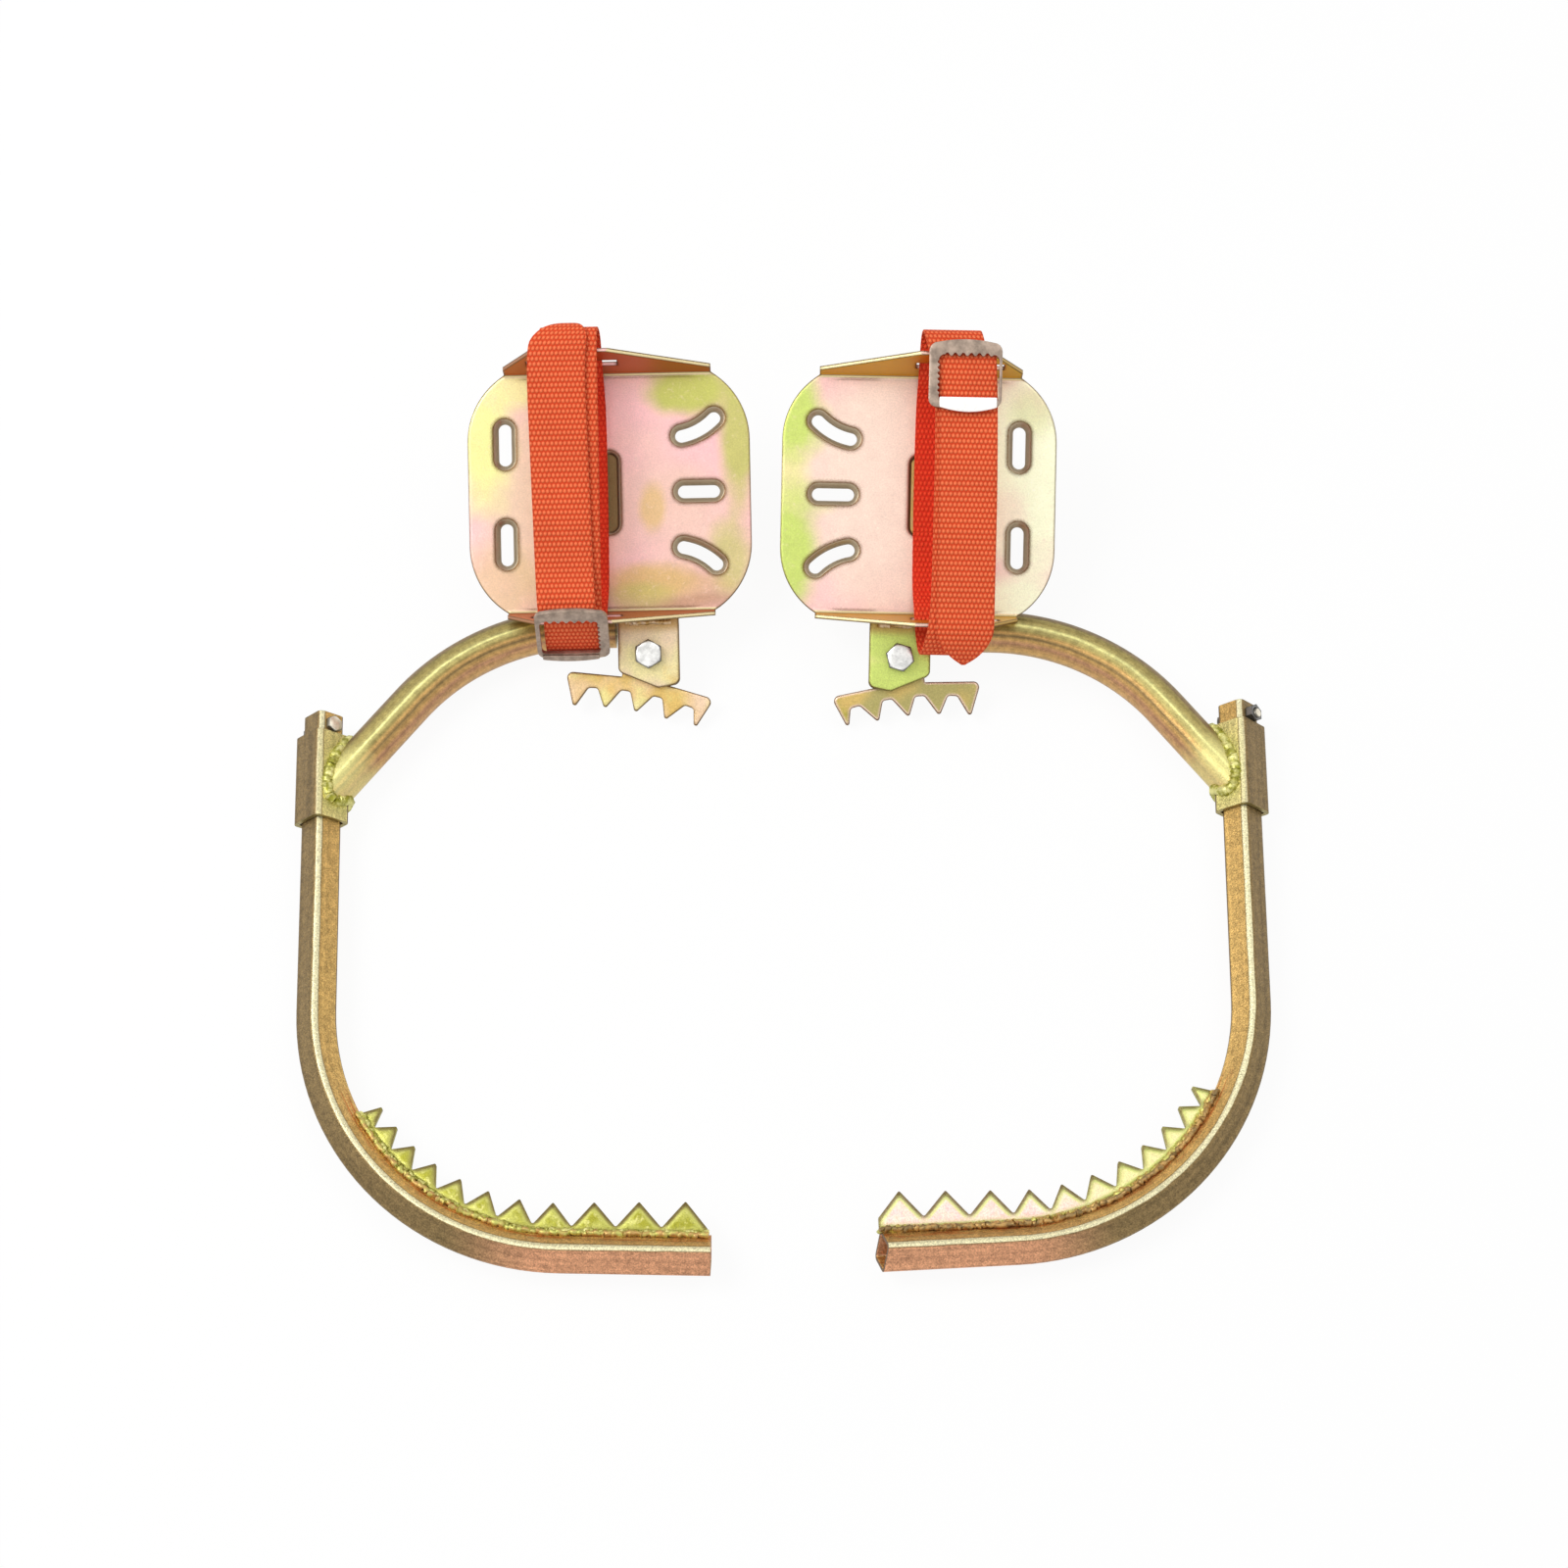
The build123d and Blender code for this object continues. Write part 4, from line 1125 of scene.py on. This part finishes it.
def chamfer_head(head, flats, head_height):
    """Turns a hexagon's top corners away to a round face, as with a lathe."""
    face_radius = FACE_SHARE * flats
    slope = math.tan(CHAMFER_ANGLE)
    deselect_all()
    bpy.ops.mesh.primitive_cone_add(
        vertices=CHAMFER_SIDES,
        radius1=face_radius + 2 * head_height / slope,
        radius2=face_radius,
        depth=2 * head_height,
        location=(0, 0, 0),
        calc_uvs=False,
    )
    cutter = new_piece("chamfer_cutter")
    finish_modifier(head, "BOOLEAN", operation="INTERSECT", object=cutter, solver="EXACT")
    bpy.data.objects.remove(cutter)


def upright_bar(name, sides, radius, depth, middle):
    """A bar along the third direction, with its middle at a height."""
    deselect_all()
    bpy.ops.mesh.primitive_cylinder_add(
        vertices=sides, radius=radius, depth=depth, location=(0, 0, middle), calc_uvs=False
    )
    piece = new_piece(name)
    settle(piece, piece.matrix_world.copy())
    return piece


def make_bolt(name, node, axis, flats, head_height, shank, turn=0):
    """A hexagon bolt with softened corners, built on its own axis and set where the node is."""
    axis = axis.normalized()
    around = axis.orthogonal().normalized()
    middle = node_middle(node, (around, axis.cross(around), axis))
    low, high = spans(node, axis)[0]
    from_axis = corners(node) - np.array(middle)
    from_axis -= np.outer(from_axis @ np.array(axis), np.array(axis))
    corner = Vector(from_axis[np.argmax((from_axis**2).sum(1))]).normalized()
    base = middle + axis * (high - head_height - middle.dot(axis))
    depth = high - low - head_height
    head = upright_bar(name, HEX_SIDES, flats / math.sqrt(3), head_height, head_height / 2)
    chamfer_head(head, flats, head_height)
    stem = upright_bar(f"{name}_stem", ROUND_SIDES, shank / 2, depth, STEM_OVERLAP - depth / 2)
    edit()
    pick(stem, lambda place: place.z < 2 * STEM_OVERLAP - depth, "EDGE")
    bpy.ops.mesh.bevel(offset=STEM_CHAMFER * shank, segments=2, affect="EDGES")
    make_active(head)
    stem.select_set(True)
    bpy.ops.object.join()
    settle(head, seat(base, Matrix.Rotation(math.radians(turn), 3, axis) @ corner.cross(axis), axis))
    soften(head, width=0.25 * MM, segments=2, edge_angle=40, shade_angle=35)
    return head


class SPIKES_OT_fasteners(bpy.types.Operator):
    """Adds the jaw bolts and the small stop bolts, and coats their washers and nuts"""

    bl_idname = "spikes.fasteners"
    bl_label = "Add fasteners"

    def execute(self, context):
        for side, turn in (("left", 30), ("right", -15)):
            up = PLATES[side].up
            axis = node_middle(f"{side}_stop_bolt") - node_middle(f"{side}_stop_nut")
            bright = fastener_finish(f"bright_zinc_{side}", (0.86, 0.86, 0.85), 1.0 * MM, up)
            cream = fastener_finish(f"cream_zinc_{side}", (0.86, 0.8, 0.66), 0.6 * MM, axis.normalized())
            bolt = make_bolt(f"{side}_pivot_bolt", f"{side}_jaw_bolt", up, *JAW_BOLT, turn)
            dress(bolt, f"{side}_frame", bright, [f"{side}_jaw_bolt"])
            bolt = make_bolt(f"{side}_stop_screw", f"{side}_stop_bolt", axis, *STOP_BOLT)
            dress(bolt, f"{side}_hook", cream, [f"{side}_stop_bolt"])
            for node in ("jaw_washer", "jaw_nut", "stop_nut"):
                coat(NODES[f"{side}_{node}"], bright)
        return {"FINISHED"}


# Plating of the steel parts
# Tones from a tube's inner to its outer side, partly plating tone and partly painted light: the brown and
# coral towards the outer sides are painted shade, and the yellow in the middle of the arm's tones is a
# painted highlight.
LEG_TONES = [(0.0, "honey"), (0.25, "gold"), (0.4, "gold"), (0.6, "brown"), (1.0, "brown")]
SLEEVE_TONES = [(0.0, "straw"), (0.4, "khaki"), (0.6, "brown"), (1.0, "brown")]
FOOT_TONES = [(0.0, "gold"), (0.4, "gold"), (0.6, "coral"), (1.0, "coral")]
ARM_TONES = [
    (0.0, "gold"), (0.08, "tan"), (0.15, "gold"), (0.21, "brown"), (0.27, "gold"), (0.34, "moss"),
    (0.42, "khaki"), (0.47, "yellow"), (0.52, "khaki"), (0.6, "moss"), (0.72, "moss"), (0.79, "brown"),
    (0.9, "brown"), (0.94, "khaki"), (1.0, "brown"),
]
# The left brace's dark tones are painted shade in the slot above it; the right brace's tones are plating.
BRACE_TONES = {"left": ("brown", "shadow", "shadow"), "right": ("gold", "honey", "cream")}


class SPIKES_OT_plating(bpy.types.Operator):
    """Gives the plates, tubes, brackets, jaws and toothed strips their yellow zinc plating"""

    bl_idname = "spikes.plating"
    bl_label = "Plate the steel"

    def execute(self, context):
        for side in SIDES:
            hook_side = -1 if side == "left" else 1
            bend = bend_centre(side)
            weld = arm_foot(side)
            weld_middle = sum(weld, Vector()) / len(weld)
            hook, sleeve, arm = (f"{side}_{part}" for part in ("hook_tube", "sleeve", "arm_tube"))
            green, pale = (weld_middle, "lime"), (weld_middle, "yellow")
            coat(NODES[f"{side}_foot_plate"], plate_finish(side))
            coat(NODES[hook], tube_finish(hook, bend, LEG_TONES, hook_side, FOOT_TONES))
            coat(NODES[sleeve], tube_finish(sleeve, bend, SLEEVE_TONES, hook_side, tint=green))
            coat(NODES[arm], tube_finish(arm, HOOK_CENTRES[side], ARM_TONES, speckle=0.3, tint=pale))
            coat(NODES[f"{side}_plate_brace"], mixed_finish(f"{side}_brace", BRACE_TONES[side], amount=1.0))
        for node, tones, amount, edge_highlight in (
            ("left_hook_teeth", ("olive", "lime", "yellow"), 0.6, "lime"),
            ("right_hook_teeth", ("shell", "pink", "cream"), 0.5, "leaf"),
        ):
            # Edges get a painted highlight band and a brown line of painted shade; upright sides get olive
            # painted shade.
            edges = (6.0 * MM, edge_highlight, "brown", 1.0)
            fade = (X * 0.125, X, 40 * MM, "yellow") if node.startswith("right") else None
            finish = mixed_finish(
                node, tones, amount, scale=190, speckle=0.4, edges=edges, side_shade="olive", fade=fade
            )
            coat(NODES[node], finish)
        for node, tones, amount, edge_highlight in (
            ("left_jaw_bracket", ("cream", "yellow", "honey"), 0.6, None),
            ("right_jaw_bracket", ("leaf", "leaf", "yellow"), 0.4, None),
            ("left_jaw", ("honey", "shell", "yellow"), 0.65, None),
            ("right_jaw", ("khaki", "honey", "olive"), 0.8, "shell"),
        ):
            plate = PLATES[node.split("_")[0]]
            # On the brackets, gold towards the plate's near flange is painted shade; edges get a painted
            # highlight band and a line of painted shade.
            fade = (plate.at(0, -74, 0), plate.across, 6 * MM, "gold") if node.endswith("bracket") else None
            edges = (2.6 * MM, edge_highlight, "shadow", 1.0)
            finish = mixed_finish(
                node, tones, amount, scale=34, speckle=0.26, edges=edges, up=plate.up, side_shade="brown", fade=fade
            )
            coat(NODES[node], finish)
        return {"FINISHED"}


# Floor, light and camera
# Each lamp's place, width and power
LAMPS = {
    "key_light": ((-1.3, 0.2, 1.7), 1.2, 20),
    "fill_light": ((1.0, 0.6, 1.7), 1.4, 5),
}
FLOOR_WHITE = (0.93, 0.93, 0.93)
FLOOR_GLOW = 0.93
SENSOR_WIDTH = 36.0


def studio_sky():
    """A plain bright studio whose light dims towards its sides."""
    sky = Finish("studio", world=True)
    _, _, z = sky.split(sky.coordinate("Generated"))
    seen = sky.seen()
    level = (0.22 + z.rise(0.05, 0.85) * 0.56) * (1 - seen) + seen
    light = sky.add("ShaderNodeBackground", None, {0: (1.0, 0.99, 0.97), 1: level})
    sky.add("ShaderNodeOutputWorld", None, {0: light.outputs[0]})
    return sky.owner


def floor_finish():
    finish = Finish("white_floor")
    matt = finish.add("ShaderNodeBsdfDiffuse", None, {0: FLOOR_WHITE}).outputs[0]
    white = finish.add("ShaderNodeEmission", None, {0: (1.0, 1.0, 1.0), 1: 1.0}).outputs[0]
    mixed = finish.add("ShaderNodeMixShader", None, {0: finish.seen() * FLOOR_GLOW, 1: matt, 2: white})
    finish.add("ShaderNodeOutputMaterial", None, {0: mixed.outputs[0]})
    return finish.owner


def soft_light(name, place, size, power):
    """A round lamp aimed at the origin."""
    lamp = bpy.data.lights.new(name, "AREA")
    lamp.shape = "DISK"
    lamp.size = size
    lamp.energy = power
    holder = bpy.data.objects.new(name, lamp)
    bpy.context.scene.collection.objects.link(holder)
    holder.location = place
    holder.rotation_euler = (-Vector(place)).to_track_quat("-Z", "Y").to_euler()


class SPIKES_OT_stage(bpy.types.Operator):
    """Adds the pale floor, the studio light and the camera"""

    bl_idname = "spikes.stage"
    bl_label = "Set the stage"

    def execute(self, context):
        settings = context.scene.spikes_stage
        floor = flat_blank("studio_floor", settings.floor_size, settings.floor_size)
        edit(False)
        coat(floor, floor_finish())
        context.scene.world = studio_sky()
        for name, lamp in LAMPS.items():
            soft_light(name, *lamp)
        lens = bpy.data.cameras.new("camera")
        lens.lens = settings.lens
        lens.sensor_width = SENSOR_WIDTH
        camera = bpy.data.objects.new("camera", lens)
        context.scene.collection.objects.link(camera)
        camera.location = settings.eye
        camera.rotation_euler = (settings.tilt, 0, 0)
        context.scene.camera = camera
        context.scene.view_settings.view_transform = "Standard"
        return {"FINISHED"}


class SPIKES_PT_build(bpy.types.Panel):
    """Lists the steps that dress the climbers"""

    bl_idname = "SPIKES_PT_build"
    bl_label = "Tree climbing spikes"
    bl_space_type = "VIEW_3D"
    bl_region_type = "UI"
    bl_category = "Spikes"

    def draw(self, context):
        for step in STEPS:
            self.layout.operator(step.bl_idname)
        for group in SETTINGS:
            box = self.layout.box()
            for name in SETTINGS[group].__annotations__:
                box.prop(getattr(context.scene, group), name)


SETTINGS = {
    "spikes_webbing": WebbingSettings,
    "spikes_buckle": BuckleSettings,
    "spikes_weld": WeldSettings,
    "spikes_plating": PlatingSettings,
    "spikes_stage": StageSettings,
}
STEPS = (
    SPIKES_OT_stage,
    SPIKES_OT_plating,
    SPIKES_OT_webbing,
    SPIKES_OT_buckles,
    SPIKES_OT_welds,
    SPIKES_OT_fasteners,
)


def register():
    for kind in (*SETTINGS.values(), *STEPS, SPIKES_PT_build):
        bpy.utils.register_class(kind)
    for group, kind in SETTINGS.items():
        setattr(bpy.types.Scene, group, bpy.props.PointerProperty(type=kind))


def unregister():
    for group in SETTINGS:
        delattr(bpy.types.Scene, group)
    for kind in (SPIKES_PT_build, *reversed(STEPS), *reversed(SETTINGS.values())):
        bpy.utils.unregister_class(kind)


def main():
    register()
    bpy.ops.spikes.stage()
    bpy.ops.spikes.plating()
    bpy.ops.spikes.webbing()
    bpy.ops.spikes.buckles()
    bpy.ops.spikes.welds()
    bpy.ops.spikes.fasteners()


if __name__ == "__main__":
    main()
